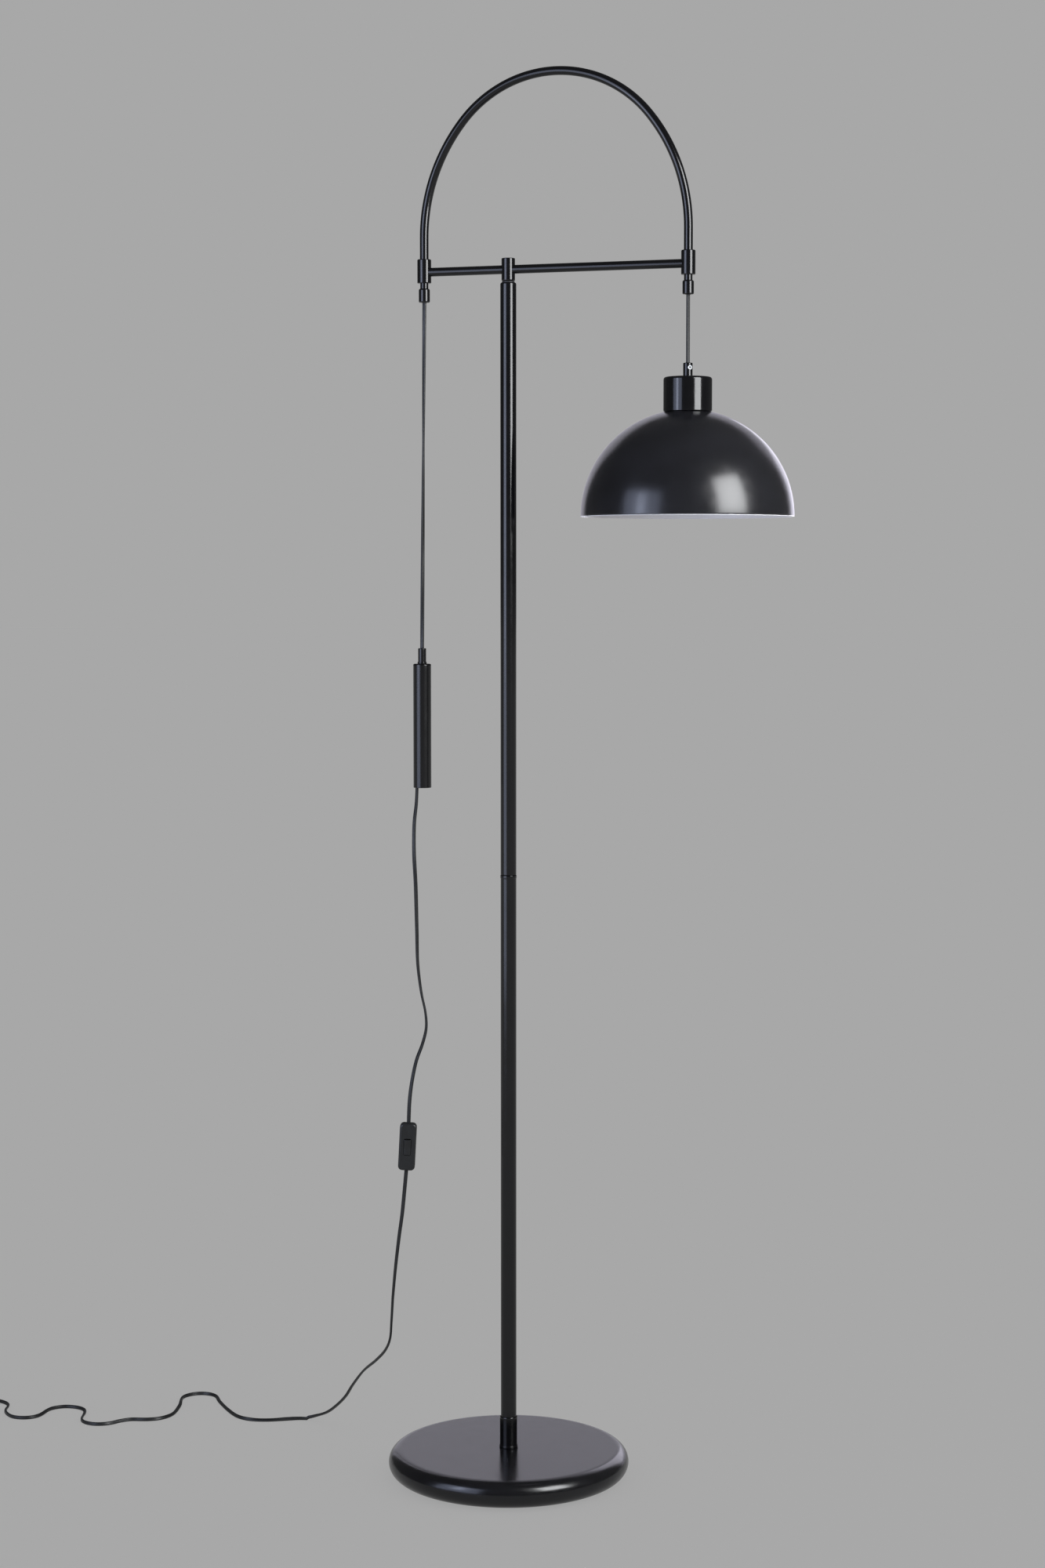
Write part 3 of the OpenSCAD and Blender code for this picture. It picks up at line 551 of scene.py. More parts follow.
def lead_places(points, width_at_start, twist):
    """A matrix for each point of the lead's middle line: Z along it, X across its wide side.

    On the floor the lead lies flat where it runs straight and stands on its edge in a tight bend. Elsewhere
    it twists slowly, twist being in turns a metre.
    """
    settle = 25 * MM
    slack_bend, tight_bend = 4, 24
    wide = Vector(width_at_start)
    places = []
    for i, point in enumerate(points):
        before, after = points[max(0, i - 1)], points[min(len(points) - 1, i + 1)]
        along = (after - before).normalized()
        step = (after - before).length / 2
        wide = (wide - wide.dot(along) * along).normalized()
        if point.z < 30 * MM and abs(along.z) < 0.35:
            on_edge = min(1.0, max(0.0, (bend_at(points, i) - slack_bend) / (tight_bend - slack_bend)))
            tilt = on_edge * math.pi / 2
            target = math.cos(tilt) * along.cross(Z).normalized() + math.sin(tilt) * Z
            if target.dot(wide) < 0:
                target = -target
            wide = wide.lerp(target, min(1.0, step / settle)).normalized()
        else:
            wide = Matrix.Rotation(math.tau * twist * step, 3, along) @ wide
        wide = (wide - wide.dot(along) * along).normalized()
        place = Matrix((wide, along.cross(wide), along)).transposed().to_4x4()
        place.translation = point
        places.append(place)
    return places


def rest_on_floor(places, width, thickness):
    """Lowers or lifts each place near the floor so that the lead just rests on it."""
    for place in places:
        if place.translation.z < 4 * MM:
            across, up, _ = place.to_3x3().transposed()
            place.translation.z = math.hypot(across.z * width / 2, up.z * thickness / 2) + 0.1 * MM
    return places


def lead_piece(name, places, sizes):
    """A stretch of flat twin lead along the places."""
    bm = bmesh.new()
    swept(bm, twin_section(sizes.lead_width, sizes.lead_thickness), places)
    outward(bm)
    return add_piece(name, bm, ["extruded_pvc"], 60)


def switch_place():
    """The switch's own frame: X across it, Y to its back, Z along it."""
    turn = Matrix.Rotation(SWITCH_TURN, 4, "Z") @ Matrix.Rotation(SWITCH_LEAN, 4, "Y")
    return Matrix.Translation(SWITCH_CENTRE) @ turn


def coil_points(sizes):
    """The turns of the stored lead, from where the floor stretch reaches it to where the tail leaves it."""
    start, end = Vector(PLUG_ROUTE[-1]), Vector(TAIL_ROUTE[0])
    centre = start - sizes.coil_radius * Y
    count = sizes.coil_turns * 60
    points = []
    for i in range(count + 1):
        angle = math.pi / 2 + math.tau * sizes.coil_turns * i / count
        out = math.cos(angle) * X + math.sin(angle) * Y
        rise = (end.z - start.z) * i / count
        points.append(centre + sizes.coil_radius * out + rise * Z)
    return points


class LAMP_OT_camera(bpy.types.Operator):
    """Add the camera"""

    bl_idname = "lamp.camera"
    bl_label = "Camera"

    def execute(self, context):
        data = bpy.data.cameras.new("camera")
        data.lens = 65.4
        data.sensor_width = 36
        data.clip_end = 200
        camera = bpy.data.objects.new("camera", data)
        context.scene.collection.objects.link(camera)
        turn = Matrix.Rotation(math.radians(18), 4, "Z")
        pitch = Matrix.Rotation(math.radians(90 - 4.16), 4, "X")
        camera.matrix_world = turn @ Matrix.Translation((0.0169, -3.416, 1.095)) @ pitch
        context.scene.camera = camera
        return {"FINISHED"}


class LAMP_OT_free_lead(bpy.types.Operator):
    """Add the free lead: below the counterweight, below the switch, and over the floor to the plug"""

    bl_idname = "lamp.free_lead"
    bl_label = "Free lead"

    def execute(self, context):
        sizes = context.scene.lamp_sizes
        width, thickness = sizes.lead_width, sizes.lead_thickness
        place = switch_place()
        across = place.to_3x3() @ X
        top = place @ (SWITCH_LENGTH / 2 * Z)
        bottom = place @ (-SWITCH_LENGTH / 2 * Z)

        hanging = smooth_route(HANGING_ROUTE + [tuple(top)])
        # The twist is worked out upwards from the switch, so that the lead enters it flat
        upwards = lead_places(hanging[::-1], across, -1.6)
        places = [place @ Matrix.Rotation(math.pi, 4, "X") for place in upwards[::-1]]
        first = lead_piece("lead_hanging_twin", places, sizes)
        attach(first, "counterweight")
        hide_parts("lead_hanging")
        case = ("switch_front_shell", "switch_back_shell", "switch_rocker_key")
        switch = [bpy.data.objects[n] for n in case]
        switch += [frame["nodes"][n] for n in ("switch_screws", "switch_terminals")]

        below = smooth_route([tuple(bottom)] + BELOW_ROUTE)
        places = lead_places(below, across, 1.2)
        second = lead_piece("lead_below_switch_twin", places, sizes)
        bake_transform(second)
        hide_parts("lead_below_switch")

        line = smooth_route(PLUG_ROUTE) + evenly(coil_points(sizes), 3 * MM)[1:-1] + smooth_route(TAIL_ROUTE)
        places = rest_on_floor(lead_places(line, places[-1].to_3x3() @ X, 0.8), width, thickness)
        third = lead_piece("lead_to_plug_twin", places, sizes)
        # The lead touches the floor at the end of this stretch
        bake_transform(third)
        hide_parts("lead_to_plug", "lead_coil")
        return {"FINISHED"}


class LAMP_OT_cables(bpy.types.Operator):
    """Add the two taut stretches of lead between the arch, the counterweight and the shade"""

    bl_idname = "lamp.cables"
    bl_label = "Cables"

    def execute(self, context):
        sizes = context.scene.lamp_sizes
        # Node, bodies that hold its top and its foot, turn of its wide side, twist in turns a metre
        stretches = (
            ("shade_cable", "drop", "shade", 55, 0.15),
            ("weight_cable", "arm", "counterweight", 10, 1.3),
        )
        for node, fixed, moving, turn, twist in stretches:
            low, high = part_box(node)
            radius = sizes.lead_width / 2
            top = Vector((high.x - radius, 0, high.z + 0.1 * MM))
            foot = Vector((low.x + radius, 0, low.z - 2 * MM))
            points = [top.lerp(foot, i / 120) for i in range(121)]
            across = Matrix.Rotation(math.radians(turn), 3, "Z") @ X
            piece = lead_piece(node + "_twin", lead_places(points, across, twist), sizes)
            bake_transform(piece)
            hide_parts(node)
        return {"FINISHED"}


# --- turned and bent metal ---


class LAMP_OT_base(bpy.types.Operator):
    """Add the base cover and the collar of the pole"""

    bl_idname = "lamp.base"
    bl_label = "Base"

    def execute(self, context):
        sheet = context.scene.lamp_sizes.sheet
        at, radius, low, high = turned_size("base_cover")
        bead = (high - low) / 2
        middle = radius - bead
        foot = middle - 6 * MM
        hole = 5.3 * MM
        outer = arc(middle, low + bead, bead, 90, -90, 40)
        inner = arc(middle, low + bead, bead - sheet, -90, 90, 40)
        outline = [(hole, high)] + outer + [(foot, low), (foot, low + sheet)] + inner + [(hole, high - sheet)]
        turned_piece("base_cover_shell", "base_cover", outline, at, "stand", finish="satin_stove_enamel",
                     steps=160)

        at, ring, low, high = turned_size("pole_collar")
        pole = turned_size("upper_pole")[1]
        body = ring - 0.55 * MM
        outline = [(pole, low), (ring, low, 0.5 * MM), (ring, low + 3.2 * MM, 0.9 * MM),
                   (body, low + 3.2 * MM), (body, high, 1.8 * MM), (pole, high)]
        turned_piece("pole_collar_sleeve", "pole_collar", outline, at, "stand")
        return {"FINISHED"}


class LAMP_OT_pole(bpy.types.Operator):
    """Add the two tubes of the pole, the lip at their joint and the bush at the top"""

    bl_idname = "lamp.pole"
    bl_label = "Pole"

    def execute(self, context):
        wall = 1.5 * MM
        at, lip, low, high = turned_size("lower_pole")
        radius = turned_size("upper_pole")[1]
        outline = [(radius - wall, low), (radius, low), (radius, high - 4 * MM, 0.3 * MM),
                   (lip, high - 3.6 * MM, 0.3 * MM), (lip, high, 0.7 * MM), (radius - wall, high)]
        turned_piece("lower_pole_tube", "lower_pole", outline, at, "stand")

        at, radius, low, high = turned_size("upper_pole")
        top = turned_size("pole_top_bush")[3]
        seam = top - 6 * MM
        outline = [(radius - wall, low), (radius, low, 0.5 * MM), (radius, seam), (radius - wall, seam)]
        turned_piece("upper_pole_tube", "upper_pole", outline, at, "stand")

        outline = [(5.3 * MM, seam), (radius, seam), (radius, top, 2.2 * MM), (5.3 * MM, top)]
        turned_piece("pole_top_bush_ring", "pole_top_bush", outline, at, "stand", slot="black_plastic")
        return {"FINISHED"}


class LAMP_OT_arm(bpy.types.Operator):
    """Add the hub, the crossbar, the arched tube, and the tees with their nipples and ferrules"""

    bl_idname = "lamp.arm"
    bl_label = "Arm"

    def execute(self, context):
        at, radius, low, high = turned_size("hub")
        outline = [(0, low), (radius - 1.2 * MM, low, 0.3 * MM), (radius, low + 1.6 * MM, 0.6 * MM),
                   (radius, high, 0.9 * MM), (0, high)]
        turned_piece("hub_barrel", "hub", outline, at, "arm", closed=False)
        self.crossbar()
        self.arch(context.scene.lamp_sizes)
        for side in ("back", "front"):
            self.outlet(side)
        return {"FINISHED"}

    def crossbar(self):
        low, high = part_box("crossbar")
        radius = (high.z - low.z) / 2
        bm = bmesh.new()
        turned(bm, [(0, low.x), (radius, low.x), (radius, high.x), (0, high.x)], steps=48)
        outward(bm)
        lay = Matrix.Translation((0, 0, (low.z + high.z) / 2)) @ Matrix.Rotation(math.pi / 2, 4, "Y")
        bmesh.ops.transform(bm, matrix=lay, verts=bm.verts)
        stand_for(add_piece("crossbar_tube", bm, ["black_stove_enamel"]), "arm", "black_enamel", "crossbar")

    def arch(self, sizes):
        low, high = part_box("arc_tube")
        radius = (high.y - low.y) / 2
        half_span = (high.x - low.x) / 2 - radius
        middle = (high.x + low.x) / 2
        crown = sizes.crown_radius
        rise = high.z - radius - sizes.arch_spring
        shoulder = (half_span**2 + (rise - crown) ** 2 - crown**2) / (2 * (half_span - crown))
        angle = math.atan2(rise - crown, shoulder - half_span)
        inset = half_span - shoulder
        bm = bmesh.new()
        bmesh.ops.create_circle(bm, cap_ends=True, segments=32, radius=radius)
        bmesh.ops.translate(bm, verts=bm.verts, vec=(middle - half_span, 0, low.z))
        ring = grown_ring(bm, bm.edges[:], sizes.arch_spring - low.z)
        bends = (
            (middle - inset, sizes.arch_spring, angle, 24),
            (middle, high.z - radius - crown, math.pi - 2 * angle, 96),
            (middle + inset, sizes.arch_spring, angle, 24),
        )
        for centre_x, centre_z, turn, steps in bends:
            geom = ring + list({v for e in ring for v in e.verts})
            spun = bmesh.ops.spin(bm, geom=geom, cent=(centre_x, 0, centre_z), axis=Y, dvec=(0, 0, 0),
                                  angle=turn, steps=steps, use_merge=False, use_normal_flip=False,
                                  use_duplicate=False)["geom_last"]
            ring = [g for g in spun if isinstance(g, bmesh.types.BMEdge)]
        bmesh.ops.contextual_create(bm, geom=grown_ring(bm, ring, low.z - sizes.arch_spring))
        outward(bm)
        stand_for(add_piece("arch_tube", bm, ["black_stove_enamel"]), "arm", "black_enamel", "arc_tube")

    def outlet(self, side):
        at, radius, low, high = turned_size(side + "_tee")
        # The nipple's bore is narrower than the tube's, and the ferrule's fits its bush
        nipple_bore, tube_bore, ferrule_bore = 3 * MM, 5 * MM, 3.5 * MM
        outline = [(nipple_bore, low), (radius, low, 0.8 * MM), (radius, high, 1.1 * MM), (tube_bore, high)]
        turned_piece(side + "_tee_barrel", side + "_tee", outline, at, "arm", steps=64)

        neck = 4.9 * MM
        bottom = turned_size(side + "_ferrule")[3]
        outline = [(nipple_bore, bottom), (neck, bottom), (neck, low), (nipple_bore, low)]
        turned_piece(side + "_nipple_stem", side + "_nipple", outline, at, "arm", steps=48)

        at, radius, low, high = turned_size(side + "_ferrule")
        outline = [(ferrule_bore, low + 3 * MM), (ferrule_bore, low, 0.3 * MM), (radius, low, 1.4 * MM),
                   (radius, high, 2.0 * MM), (ferrule_bore, high)]
        turned_piece(side + "_ferrule_sleeve", side + "_ferrule", outline, at, "arm", steps=64)


class LAMP_OT_shade(bpy.types.Operator):
    """Add the dome, its cap, the cable clamp and its screw"""

    bl_idname = "lamp.shade"
    bl_label = "Shade"

    def execute(self, context):
        sheet = context.scene.lamp_sizes.sheet
        at, radius, low, high = turned_size("shade_dome")
        hole = math.degrees(math.asin(5.4 * MM / radius))
        inner = radius - sheet
        rim = [(inner, low + 0.5 * MM), (inner + 0.35 * MM, low), (radius - 0.35 * MM, low),
               (radius, low + 0.5 * MM)]
        outline = arc(0, low, inner, 90 - hole, 1, 56) + rim + arc(0, low, radius, 1, 90 - hole, 56)
        bm = bmesh.new()
        turned(bm, outline, closed=True, steps=160)
        outward(bm)
        for face in bm.faces:
            middle = face.calc_center_median()
            outside = Vector((middle.x, middle.y, middle.z - low)).length > radius - 0.6 * MM
            face.material_index = 0 if outside and middle.z > low + 0.3 * MM else 1
        bmesh.ops.translate(bm, verts=bm.verts, vec=(at.x, at.y, 0))
        dome = add_piece("dome_spinning", bm, ["dome_stove_enamel", "white_reflector_enamel"])
        stand_for(dome, "shade", "black_aluminium", "shade_dome")

        at, radius, low, high = turned_size("shade_cap")
        wall = 1.2 * MM
        outline = [(radius - wall, low), (radius, low, 0.4 * MM), (radius, high, 3.2 * MM),
                   (5 * MM, high), (5 * MM, high - wall), (radius - wall, high - wall, 2.2 * MM)]
        turned_piece("cap_cup", "shade_cap", outline, at, "shade", slot="black_aluminium", steps=128,
                     segments=8)

        self.clamp()
        return {"FINISHED"}

    def clamp(self):
        at, radius, low, high = turned_size("cable_clamp")
        bore = 2.6 * MM
        outline = [(bore, low), (radius, low, 0.3 * MM), (radius, high, 0.8 * MM), (bore, high, 0.3 * MM)]
        turned_piece("cable_clamp_barrel", "cable_clamp", outline, at, "shade", steps=48)

        low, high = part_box("clamp_screw")
        middle = (low + high) / 2
        out = Vector((middle.x - at.x, middle.y, 0)).normalized()
        bm = bmesh.new()
        socket_screw(bm, 2.8 * MM, 3.2 * MM, 1.7 * MM)
        seat = Vector((at.x, at.y, middle.z)) + out * (radius + 0.5 * MM)
        turn = out.to_track_quat("Z", "Y").to_matrix().to_4x4()
        bmesh.ops.transform(bm, matrix=Matrix.Translation(seat) @ turn, verts=bm.verts)
        screw = add_piece("clamp_screw_head", bm, ["zinc_plated_steel"], 30)
        stand_for(screw, "shade", "zinc_steel", "clamp_screw")


def socket_screw(bm, radius, length, socket):
    """A grub screw with a hexagonal socket, its face at the origin and its shank along -Z."""
    chamfer = 0.4 * MM
    rim = bmesh.ops.create_circle(bm, cap_ends=False, segments=36, radius=radius - chamfer)["verts"]
    hexagon = bmesh.ops.create_circle(bm, cap_ends=False, segments=6, radius=socket)["verts"]
    rim_edges = [e for e in bm.edges if e.verts[0] in rim]
    hex_edges = [e for e in bm.edges if e.verts[0] in hexagon]
    bmesh.ops.bridge_loops(bm, edges=rim_edges + hex_edges)
    # The socket ends in the shallow cone that its drill left
    bottom = grown_ring(bm, grown_ring(bm, hex_edges, -2.2 * MM), -0.5 * MM, 0.05, 0.05)
    bmesh.ops.contextual_create(bm, geom=bottom)
    scale = radius / (radius - chamfer)
    edge = grown_ring(bm, rim_edges, -chamfer, scale, scale)
    bmesh.ops.contextual_create(bm, geom=grown_ring(bm, edge, -length))
    outward(bm)


class LAMP_OT_holder(bpy.types.Operator):
    """Add the lampholder and its threaded shell"""

    bl_idname = "lamp.holder"
    bl_label = "Lampholder"

    def execute(self, context):
        at, radius, low, high = turned_size("lampholder_body")
        bore = 14.85 * MM
        outline = [(bore, low), (radius, low, 1.2 * MM)]
        # Grip ribs round the body
        for i in range(6):
            z = low + (6 + 4 * i) * MM
            outline += [(radius, z, 0.4 * MM), (radius - 0.7 * MM, z + 0.8 * MM, 0.3 * MM),
                        (radius - 0.7 * MM, z + 1.4 * MM, 0.3 * MM), (radius, z + 2.2 * MM, 0.4 * MM)]
        outline += [(radius, high, 0.6 * MM), (bore, high)]
        turned_piece("lampholder_sleeve", "lampholder_body", outline, at, "shade", slot="black_plastic",
                     finish="moulded_phenolic", steps=72, segments=3)

        at, radius, low, high = turned_size("socket_shell")
        pitch, depth = 3.6 * MM, 0.5 * MM
        count = int((high - low) / pitch * 8)
        wave = [(radius - 1.0 * MM + depth * math.cos(math.tau * i / 8), low + (high - low) * i / count)
                for i in range(count + 1)]
        outline = [(radius, low)] + wave + [(radius, high)]
        turned_piece("socket_thread", "socket_shell", outline, at, "shade", slot="brass",
                     finish="stamped_brass", steps=64)
        return {"FINISHED"}


class LAMP_OT_counterweight(bpy.types.Operator):
    """Add the counterweight's sleeve and its neck"""

    bl_idname = "lamp.counterweight"
    bl_label = "Counterweight"

    def execute(self, context):
        at, radius, low, high = turned_size("weight_sleeve")
        wall, hole = 1.2 * MM, 3 * MM
        inner = radius - wall
        outline = [(inner, low + 1 * MM), (inner, low), (radius, low, 0.5 * MM), (radius, high, 1.6 * MM),
                   (hole, high), (hole, high - wall), (inner, high - wall)]
        turned_piece("weight_tube", "weight_sleeve", outline, at, "counterweight",
                     finish="satin_stove_enamel")

        at, foot, low, high = turned_size("weight_neck")
        neck = foot - 0.7 * MM
        outline = [(2.8 * MM, low), (foot, low, 0.3 * MM), (foot, low + 2.2 * MM, 0.5 * MM),
                   (neck, low + 2.2 * MM), (neck, high, 0.8 * MM), (2.8 * MM, high, 0.3 * MM)]
        turned_piece("weight_neck_stem", "weight_neck", outline, at, "counterweight",
                     finish="satin_stove_enamel", steps=48)
        return {"FINISHED"}


# --- switch and plug ---


def half_shell(width, height, thickness, corner, opening):
    """A half of the switch's case: open at Z 0, its face at Z thickness, with a rounded rim."""
    bm = bmesh.new()
    rounded_rectangle(bm, width, height, corner)
    bmesh.ops.delete(bm, geom=bm.faces[:], context="FACES_ONLY")
    rounding = 2.2 * MM
    ring = grown_ring(bm, bm.edges[:], thickness - rounding)
    # The edge round the face is a quarter round in four steps
    sizes = []
    for i in range(5):
        angle = math.pi / 2 * i / 4
        inset = 2 * rounding * (1 - math.cos(angle))
        sizes.append((width - inset, height - inset, rounding * math.sin(angle)))
    face_width, face_height = sizes[-1][0], sizes[-1][1]
    for before, after in zip(sizes, sizes[1:]):
        ring = grown_ring(bm, ring, after[2] - before[2], after[0] / before[0], after[1] / before[1])
    ring = grown_ring(bm, ring, 0, 1 - STRIP / face_width, 1 - STRIP / face_height)
    if opening:
        # The case turns in round the rocker, with a small step
        ring = grown_ring(bm, ring, 0, opening[0] / (face_width - STRIP), opening[1] / (face_height - STRIP))
        grown_ring(bm, grown_ring(bm, ring, -0.4 * MM, 0.97, 0.985), -4 * MM)
    else:
        bmesh.ops.contextual_create(bm, geom=ring)
    outward(bm)
    return bm


class LAMP_OT_switch(bpy.types.Operator):
    """Add the in-line switch: two half shells and the rocker"""

    bl_idname = "lamp.switch"
    bl_label = "Switch"

    def execute(self, context):
        place = switch_place()
        opening = (9.4 * MM, 20.8 * MM)
        halves = (("front", math.pi / 2, opening), ("back", -math.pi / 2, None))
        for side, turn, hole in halves:
            bm = half_shell(SWITCH_WIDTH, SWITCH_LENGTH, SHELL_DEPTH - SHELL_GAP, 5 * MM, hole)
            bmesh.ops.translate(bm, vec=(0, 0, SHELL_GAP), verts=bm.verts)
            bmesh.ops.transform(bm, matrix=place @ Matrix.Rotation(turn, 4, "X"), verts=bm.verts)
            shell = add_piece("switch_" + side + "_shell", bm, ["moulded_abs"], 50)
            stand_for(shell, "counterweight", "black_plastic", "switch_" + side)
        self.rocker(place)
        return {"FINISHED"}

    def rocker(self, place):
        # Two flat wings that meet at a low waist over the pivot
        wing, width, depth, back = 9.5 * MM, 8.6 * MM, 4.6 * MM, 1.4 * MM
        corners = [(-wing, back, 0), (wing, back, 0), (wing, -depth, 0.5 * MM),
                   (0, -depth + 1.1 * MM, 3 * MM), (-wing, -depth, 0.5 * MM)]
        bm = bmesh.new()
        verts = [bm.verts.new((0, y, z)) for z, y, _ in corners]
        bm.faces.new(verts)
        for vert, (_, _, rounding) in zip(verts, corners):
            if rounding:
                bmesh.ops.bevel(bm, geom=[vert], offset=rounding, affect="VERTICES", segments=6,
                                profile=0.5, material=-1)
        bmesh.ops.translate(bm, vec=(-width / 2, 0, 0), verts=bm.verts)
        grown = bmesh.ops.extrude_face_region(bm, geom=bm.faces[:])["geom"]
        far_side = [g for g in grown if isinstance(g, bmesh.types.BMVert)]
        bmesh.ops.translate(bm, vec=(width, 0, 0), verts=far_side)
        outward(bm)
        sides = [e for e in bm.edges if e.calc_face_angle(0) > math.radians(70)]
        bmesh.ops.bevel(bm, geom=sides, offset=0.35 * MM, affect="EDGES", segments=2,
                        profile=0.5, material=-1)
        # It is switched on, so one wing stands proud
        pressed = Matrix.Translation((0, -3.5 * MM, 0)) @ Matrix.Rotation(math.radians(6), 4, "X")
        bmesh.ops.transform(bm, matrix=place @ pressed, verts=bm.verts)
        key = add_piece("switch_rocker_key", bm, ["moulded_abs"], 35)
        stand_for(key, "rocker", "black_plastic", "switch_rocker")


class LAMP_OT_plug(bpy.types.Operator):
    """Add the plug with its strain relief and pins, and the tie of the coil"""

    bl_idname = "lamp.plug"
    bl_label = "Plug and tie"

    def execute(self, context):
        lay = Matrix.Translation(TAIL_ROUTE[-1]) @ Matrix.Rotation(-math.pi / 2, 4, "X")
        self.moulding(lay)
        self.pins(lay)
        self.tie()
        return {"FINISHED"}

    def moulding(self, lay):
        # From the pins' face to the strain relief: distance along the plug, width, thickness, in mm
        stations = [(-34, 20, 8), (-33, 24, 11), (-30, 26, 13.4), (-22, 25.4, 13.2), (-16, 22, 12),
                    (-10, 16, 10.6), (-5, 11.5, 9.4), (-2, 10.4, 8.8)]
        # The strain relief has five ribs, each slimmer than the last
        for i in range(5):
            start, slim = 0.6 + 2.6 * i, 0.55 * i
            rib, groove = (9.6 - slim, 8 - slim), (8.4 - slim, 6.8 - slim)
            stations += [(start, *rib), (start + 0.3, *groove), (start + 1.1, *groove), (start + 1.4, *rib)]
        bm = bmesh.new()
        face, width, thickness = stations[0]
        rounded_rectangle(bm, width * MM, thickness * MM, 2.6 * MM)
        bmesh.ops.translate(bm, vec=(0, 0, face * MM), verts=bm.verts)
        ring = bm.edges[:]
        for before, after in zip(stations, stations[1:]):
            lift = (after[0] - before[0]) * MM
            ring = grown_ring(bm, ring, lift, after[1] / before[1], after[2] / before[2])
        bmesh.ops.contextual_create(bm, geom=ring)
        outward(bm)
        bmesh.ops.transform(bm, matrix=lay, verts=bm.verts)
        body = add_piece("plug_moulding", bm, ["moulded_abs"], 50)
        stand_for(body, "stand", "black_plastic", "plug_body")

    def pins(self, lay):
        radius, length, sleeve = 2 * MM, 19 * MM, 10 * MM
        apart, face = 18.6 * MM, -34.1 * MM
        bm = bmesh.new()
        turned(bm, [(0, 0), (radius, 0), (radius, length, 1.2 * MM), (0, length)], steps=32)
        outward(bm)
        bmesh.ops.rotate(bm, cent=(0, 0, 0), matrix=Matrix.Rotation(math.pi, 3, "X"), verts=bm.verts)
        bmesh.ops.translate(bm, vec=(apart / 2, 0, face), verts=bm.verts)
        twin = bmesh.ops.duplicate(bm, geom=bm.verts[:] + bm.edges[:] + bm.faces[:])["geom"]
        twin_verts = [g for g in twin if isinstance(g, bmesh.types.BMVert)]
        bmesh.ops.translate(bm, vec=(-apart, 0, 0), verts=twin_verts)
        for side in bm.faces:
            side.material_index = 1 if side.calc_center_median().z > face - sleeve else 0
        bmesh.ops.transform(bm, matrix=lay, verts=bm.verts)
        pins = add_piece("plug_pin_pair", bm, ["zinc_plated_steel", "moulded_abs"])
        stand_for(pins, "stand", "zinc_steel", "plug_pins")

    def tie(self):
        low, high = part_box("coil_tie")
        bm = bmesh.new()
        rounded_rectangle(bm, 6.4 * MM, 19 * MM, 2.2 * MM, 5)
        bmesh.ops.delete(bm, geom=bm.faces[:], context="FACES_ONLY")
        step = 1.2 * MM
        bmesh.ops.translate(bm, vec=(0, 0, -1.5 * step), verts=bm.verts)
        ring = bm.edges[:]
        for _ in range(3):
            ring = grown_ring(bm, ring, step)
        bmesh.ops.recalc_face_normals(bm, faces=bm.faces)
        bmesh.ops.solidify(bm, geom=bm.faces[:], thickness=0.5 * MM)
        # Its two ends, twisted round each other
        half_width, half_thickness = 0.9 * MM, 0.2 * MM
        section = [(-half_width, -half_thickness), (half_width, -half_thickness),
                   (half_width, half_thickness), (-half_width, half_thickness)]
        for start_angle in (math.pi, 0):
            places = []
            for i in range(25):
                angle = math.tau * 1.5 * i / 24 + start_angle
                spot = Vector((3.4 + 0.5 * i, 2 + 0.5 * math.sin(angle), 0.5 * math.cos(angle))) * MM
                turn = Matrix.Rotation(math.pi / 2, 4, "Y") @ Matrix.Rotation(angle, 4, "Z")
                places.append(Matrix.Translation(spot) @ turn)
            swept(bm, section, places)
        stand = Matrix.Rotation(math.pi / 2, 4, "Z") @ Matrix.Rotation(math.pi / 2, 4, "X")
        spot = ((low.x + high.x) / 2, (low.y + high.y) / 2, 10.2 * MM)
        bmesh.ops.transform(bm, matrix=Matrix.Translation(spot) @ stand, verts=bm.verts)
        bmesh.ops.recalc_face_normals(bm, faces=bm.faces)
        band = add_piece("tie_band", bm, ["pvc_tie_strip"], 50)
        stand_for(band, "stand", "grey_plastic", "coil_tie")


class LAMP_OT_inner_parts(bpy.types.Operator):
    """Give the CAD parts that stay, most of them inside, their own finishes"""

    bl_idname = "lamp.inner_parts"
    bl_label = "Inner parts"

    finishes = {
        "sand_cast_iron": ("base_ballast",),
        "turned_steel": ("base_plate", "pole_foot_plug", "joint_stud", "joint_insert", "weight_core"),
        "eva_foam": ("base_pad",),
        "zinc_plated_steel": ("base_bolt", "base_washer", "swivel_stud", "stud_nut", "hub_screw",
                              "cap_nipple", "cap_nut", "switch_screws"),
        "moulded_nylon": ("swivel_washer", "ferrule_bushes", "weight_end_plug"),
        "stamped_brass": ("socket_contact", "switch_terminals"),
        "moulded_phenolic": ("lampholder_top",),
        "extruded_pvc": ("lead_in_arc", "lead_in_shade", "lead_in_weight"),
    }

    def execute(self, context):
        for finish, nodes in self.finishes.items():
            for node in nodes:
                mesh = frame["nodes"][node].data
                mesh.materials.clear()
                mesh.materials.append(finish_of(finish))
        return {"FINISHED"}


# --- stage ---


def towards_camera(angle):
    """A level direction from the lamp, at an angle in degrees to the right of the camera."""
    camera = bpy.context.scene.camera.matrix_world.translation
    level = Vector((camera.x, camera.y, 0)).normalized()
    return Matrix.Rotation(math.radians(angle), 3, "Z") @ level


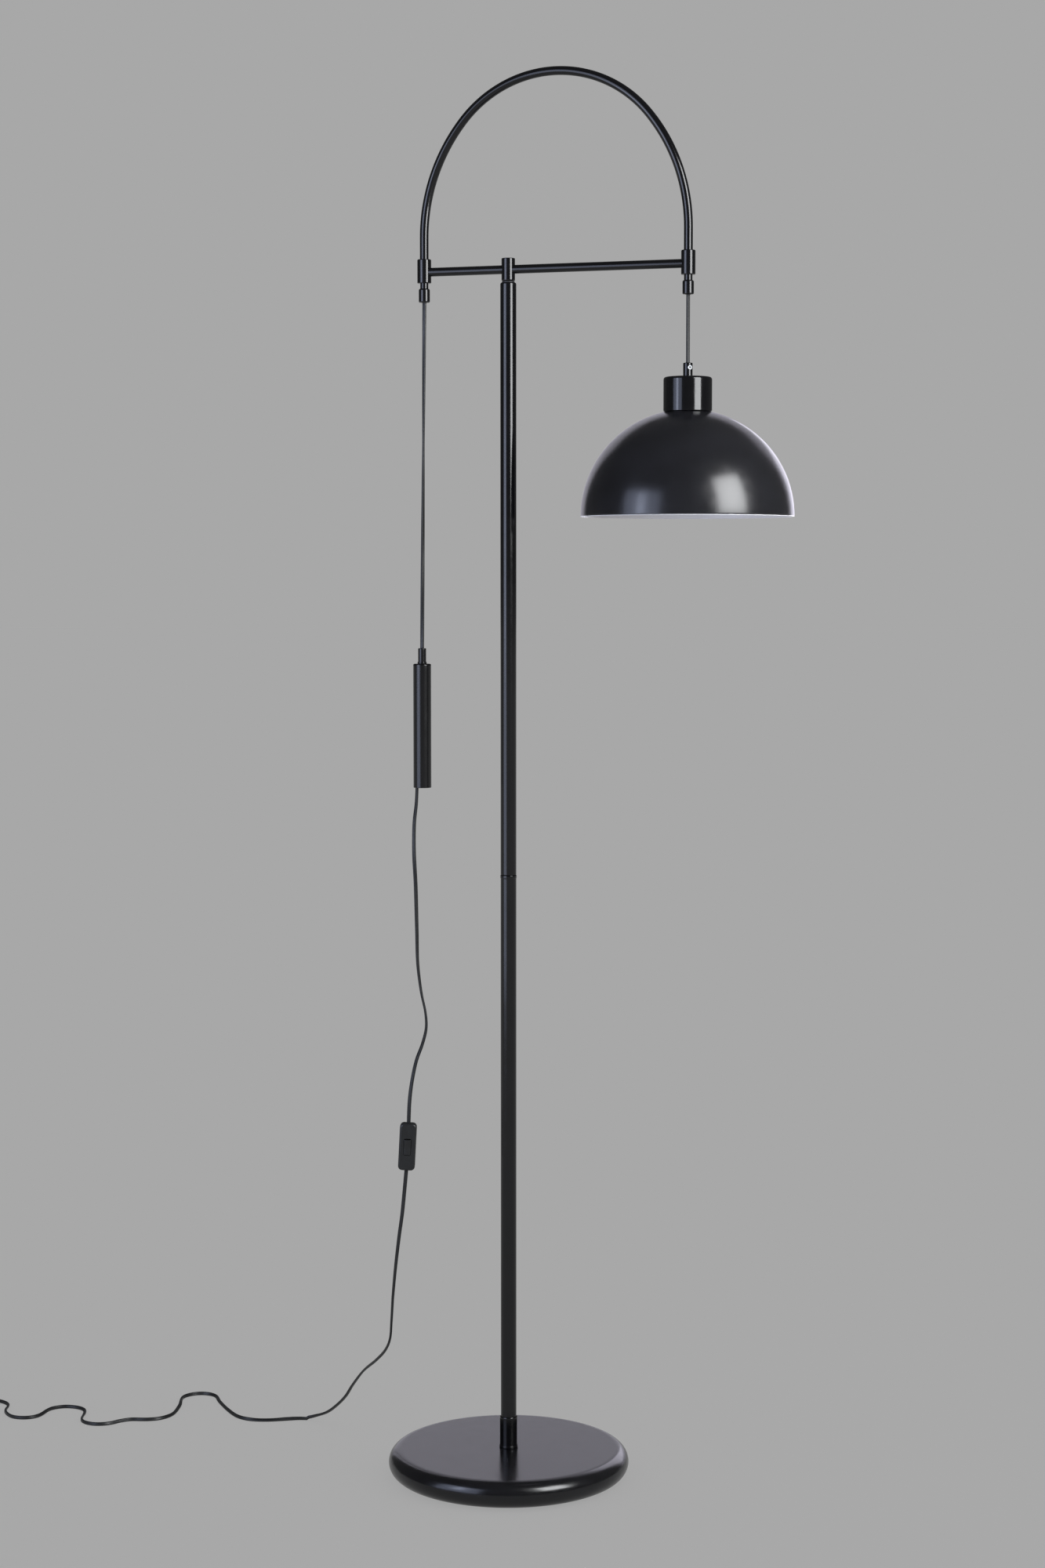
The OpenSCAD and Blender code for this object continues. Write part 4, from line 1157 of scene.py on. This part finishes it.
def add_softbox(name, angle, distance, height, size, watts, colour, aim_height, lit):
    """A soft rectangular light that shines only on the pieces of a collection."""
    data = bpy.data.lights.new(name, "AREA")
    data.shape = "RECTANGLE"
    data.size, data.size_y = size
    data.energy = watts
    data.color = linear(colour)[:3]
    softbox = bpy.data.objects.new(name, data)
    bpy.context.scene.collection.objects.link(softbox)
    place = towards_camera(angle) * distance + Z * height
    aim = Vector((0, 0, aim_height)) - place
    softbox.matrix_world = Matrix.Translation(place) @ aim.to_track_quat("-Z", "Y").to_matrix().to_4x4()
    softbox.visible_camera = False
    softbox.light_linking.receiver_collection = lit


class LAMP_OT_stage(bpy.types.Operator):
    """Add the plain floor, the even backdrop and the soft studio lights"""

    bl_idname = "lamp.stage"
    bl_label = "Stage"

    def execute(self, context):
        scene = context.scene
        bm = bmesh.new()
        bmesh.ops.create_circle(bm, cap_ends=True, segments=96, radius=60)
        floor = add_piece("studio_floor", bm, ["studio_floor_paint"])

        world = bpy.data.worlds.new("studio")
        world.use_nodes = True
        tree = world.node_tree
        tree.nodes.clear()
        ray = add_node(tree, "LightPath").outputs["Is Camera Ray"]
        # What the lamp sees of the studio is dimmer than its backdrop
        light = add_node(tree, "MapRange", {"Value": ray, "To Min": STUDIO_LIGHT, "To Max": 1.0})
        sky = add_node(tree, "Background", {"Color": list(scene.lamp_colours.backdrop), "Strength": light})
        add_node(tree, "OutputWorld", {"Surface": sky})
        scene.world = world
        scene.view_settings.view_transform = "Standard"

        lit = bpy.data.collections.new("lit_by_softboxes")
        lit_from_behind = bpy.data.collections.new("lit_from_behind")
        for piece in scene.objects:
            if piece.type == "MESH" and piece is not floor:
                lit.objects.link(piece)
            if piece.name in ("base_cover_shell", "dome_spinning"):
                lit_from_behind.objects.link(piece)
        # Name, degrees from the camera, distance, height, width and height, watts, colour, height of its aim
        add_softbox("key_softbox", 47, 2.6, 2.12, (1.4, 1.7), 84, "#fbfdff", 1.6, lit)
        add_softbox("fill_softbox", -50, 2.6, 1.3, (2.1, 2.2), 38, "#c6d0ee", 1.2, lit)
        add_softbox("fill_strip", -50, 2.55, 1.55, (0.45, 1.3), 9, "#d3dcf5", 1.4, lit)
        add_softbox("back_softbox", 171, 2.4, 1.5, (3.8, 3.0), 27, "#e9e6f6", 1.1, lit_from_behind)
        add_softbox("rim_softbox", 150, 2.2, 1.15, (1.0, 1.6), 8, "#e9e6f6", 1.1, lit_from_behind)
        return {"FINISHED"}


class LAMP_PT_panel(bpy.types.Panel):
    """The lamp's sizes, colours and steps"""

    bl_idname = "LAMP_PT_panel"
    bl_label = "Arc floor lamp"
    bl_space_type = "VIEW_3D"
    bl_region_type = "UI"
    bl_category = "Lamp"

    def draw(self, context):
        for group in (context.scene.lamp_sizes, context.scene.lamp_colours):
            box = self.layout.box()
            for name in group.__annotations__:
                box.prop(group, name)
        for step in STEPS:
            self.layout.operator(step.bl_idname)


STEPS = (
    LAMP_OT_camera,
    LAMP_OT_switch,
    LAMP_OT_plug,
    LAMP_OT_free_lead,
    LAMP_OT_cables,
    LAMP_OT_base,
    LAMP_OT_pole,
    LAMP_OT_arm,
    LAMP_OT_shade,
    LAMP_OT_holder,
    LAMP_OT_counterweight,
    LAMP_OT_inner_parts,
    LAMP_OT_stage,
)
CLASSES = (LampSizes, LampColours) + STEPS + (LAMP_PT_panel,)


def register():
    for cls in CLASSES:
        bpy.utils.register_class(cls)
    bpy.types.Scene.lamp_sizes = PointerProperty(type=LampSizes)
    bpy.types.Scene.lamp_colours = PointerProperty(type=LampColours)


def unregister():
    del bpy.types.Scene.lamp_colours
    del bpy.types.Scene.lamp_sizes
    for cls in reversed(CLASSES):
        bpy.utils.unregister_class(cls)


def main():
    register()
    for step in STEPS:
        group, name = step.bl_idname.split(".")
        getattr(getattr(bpy.ops, group), name)()


if __name__ == "__main__":
    main()
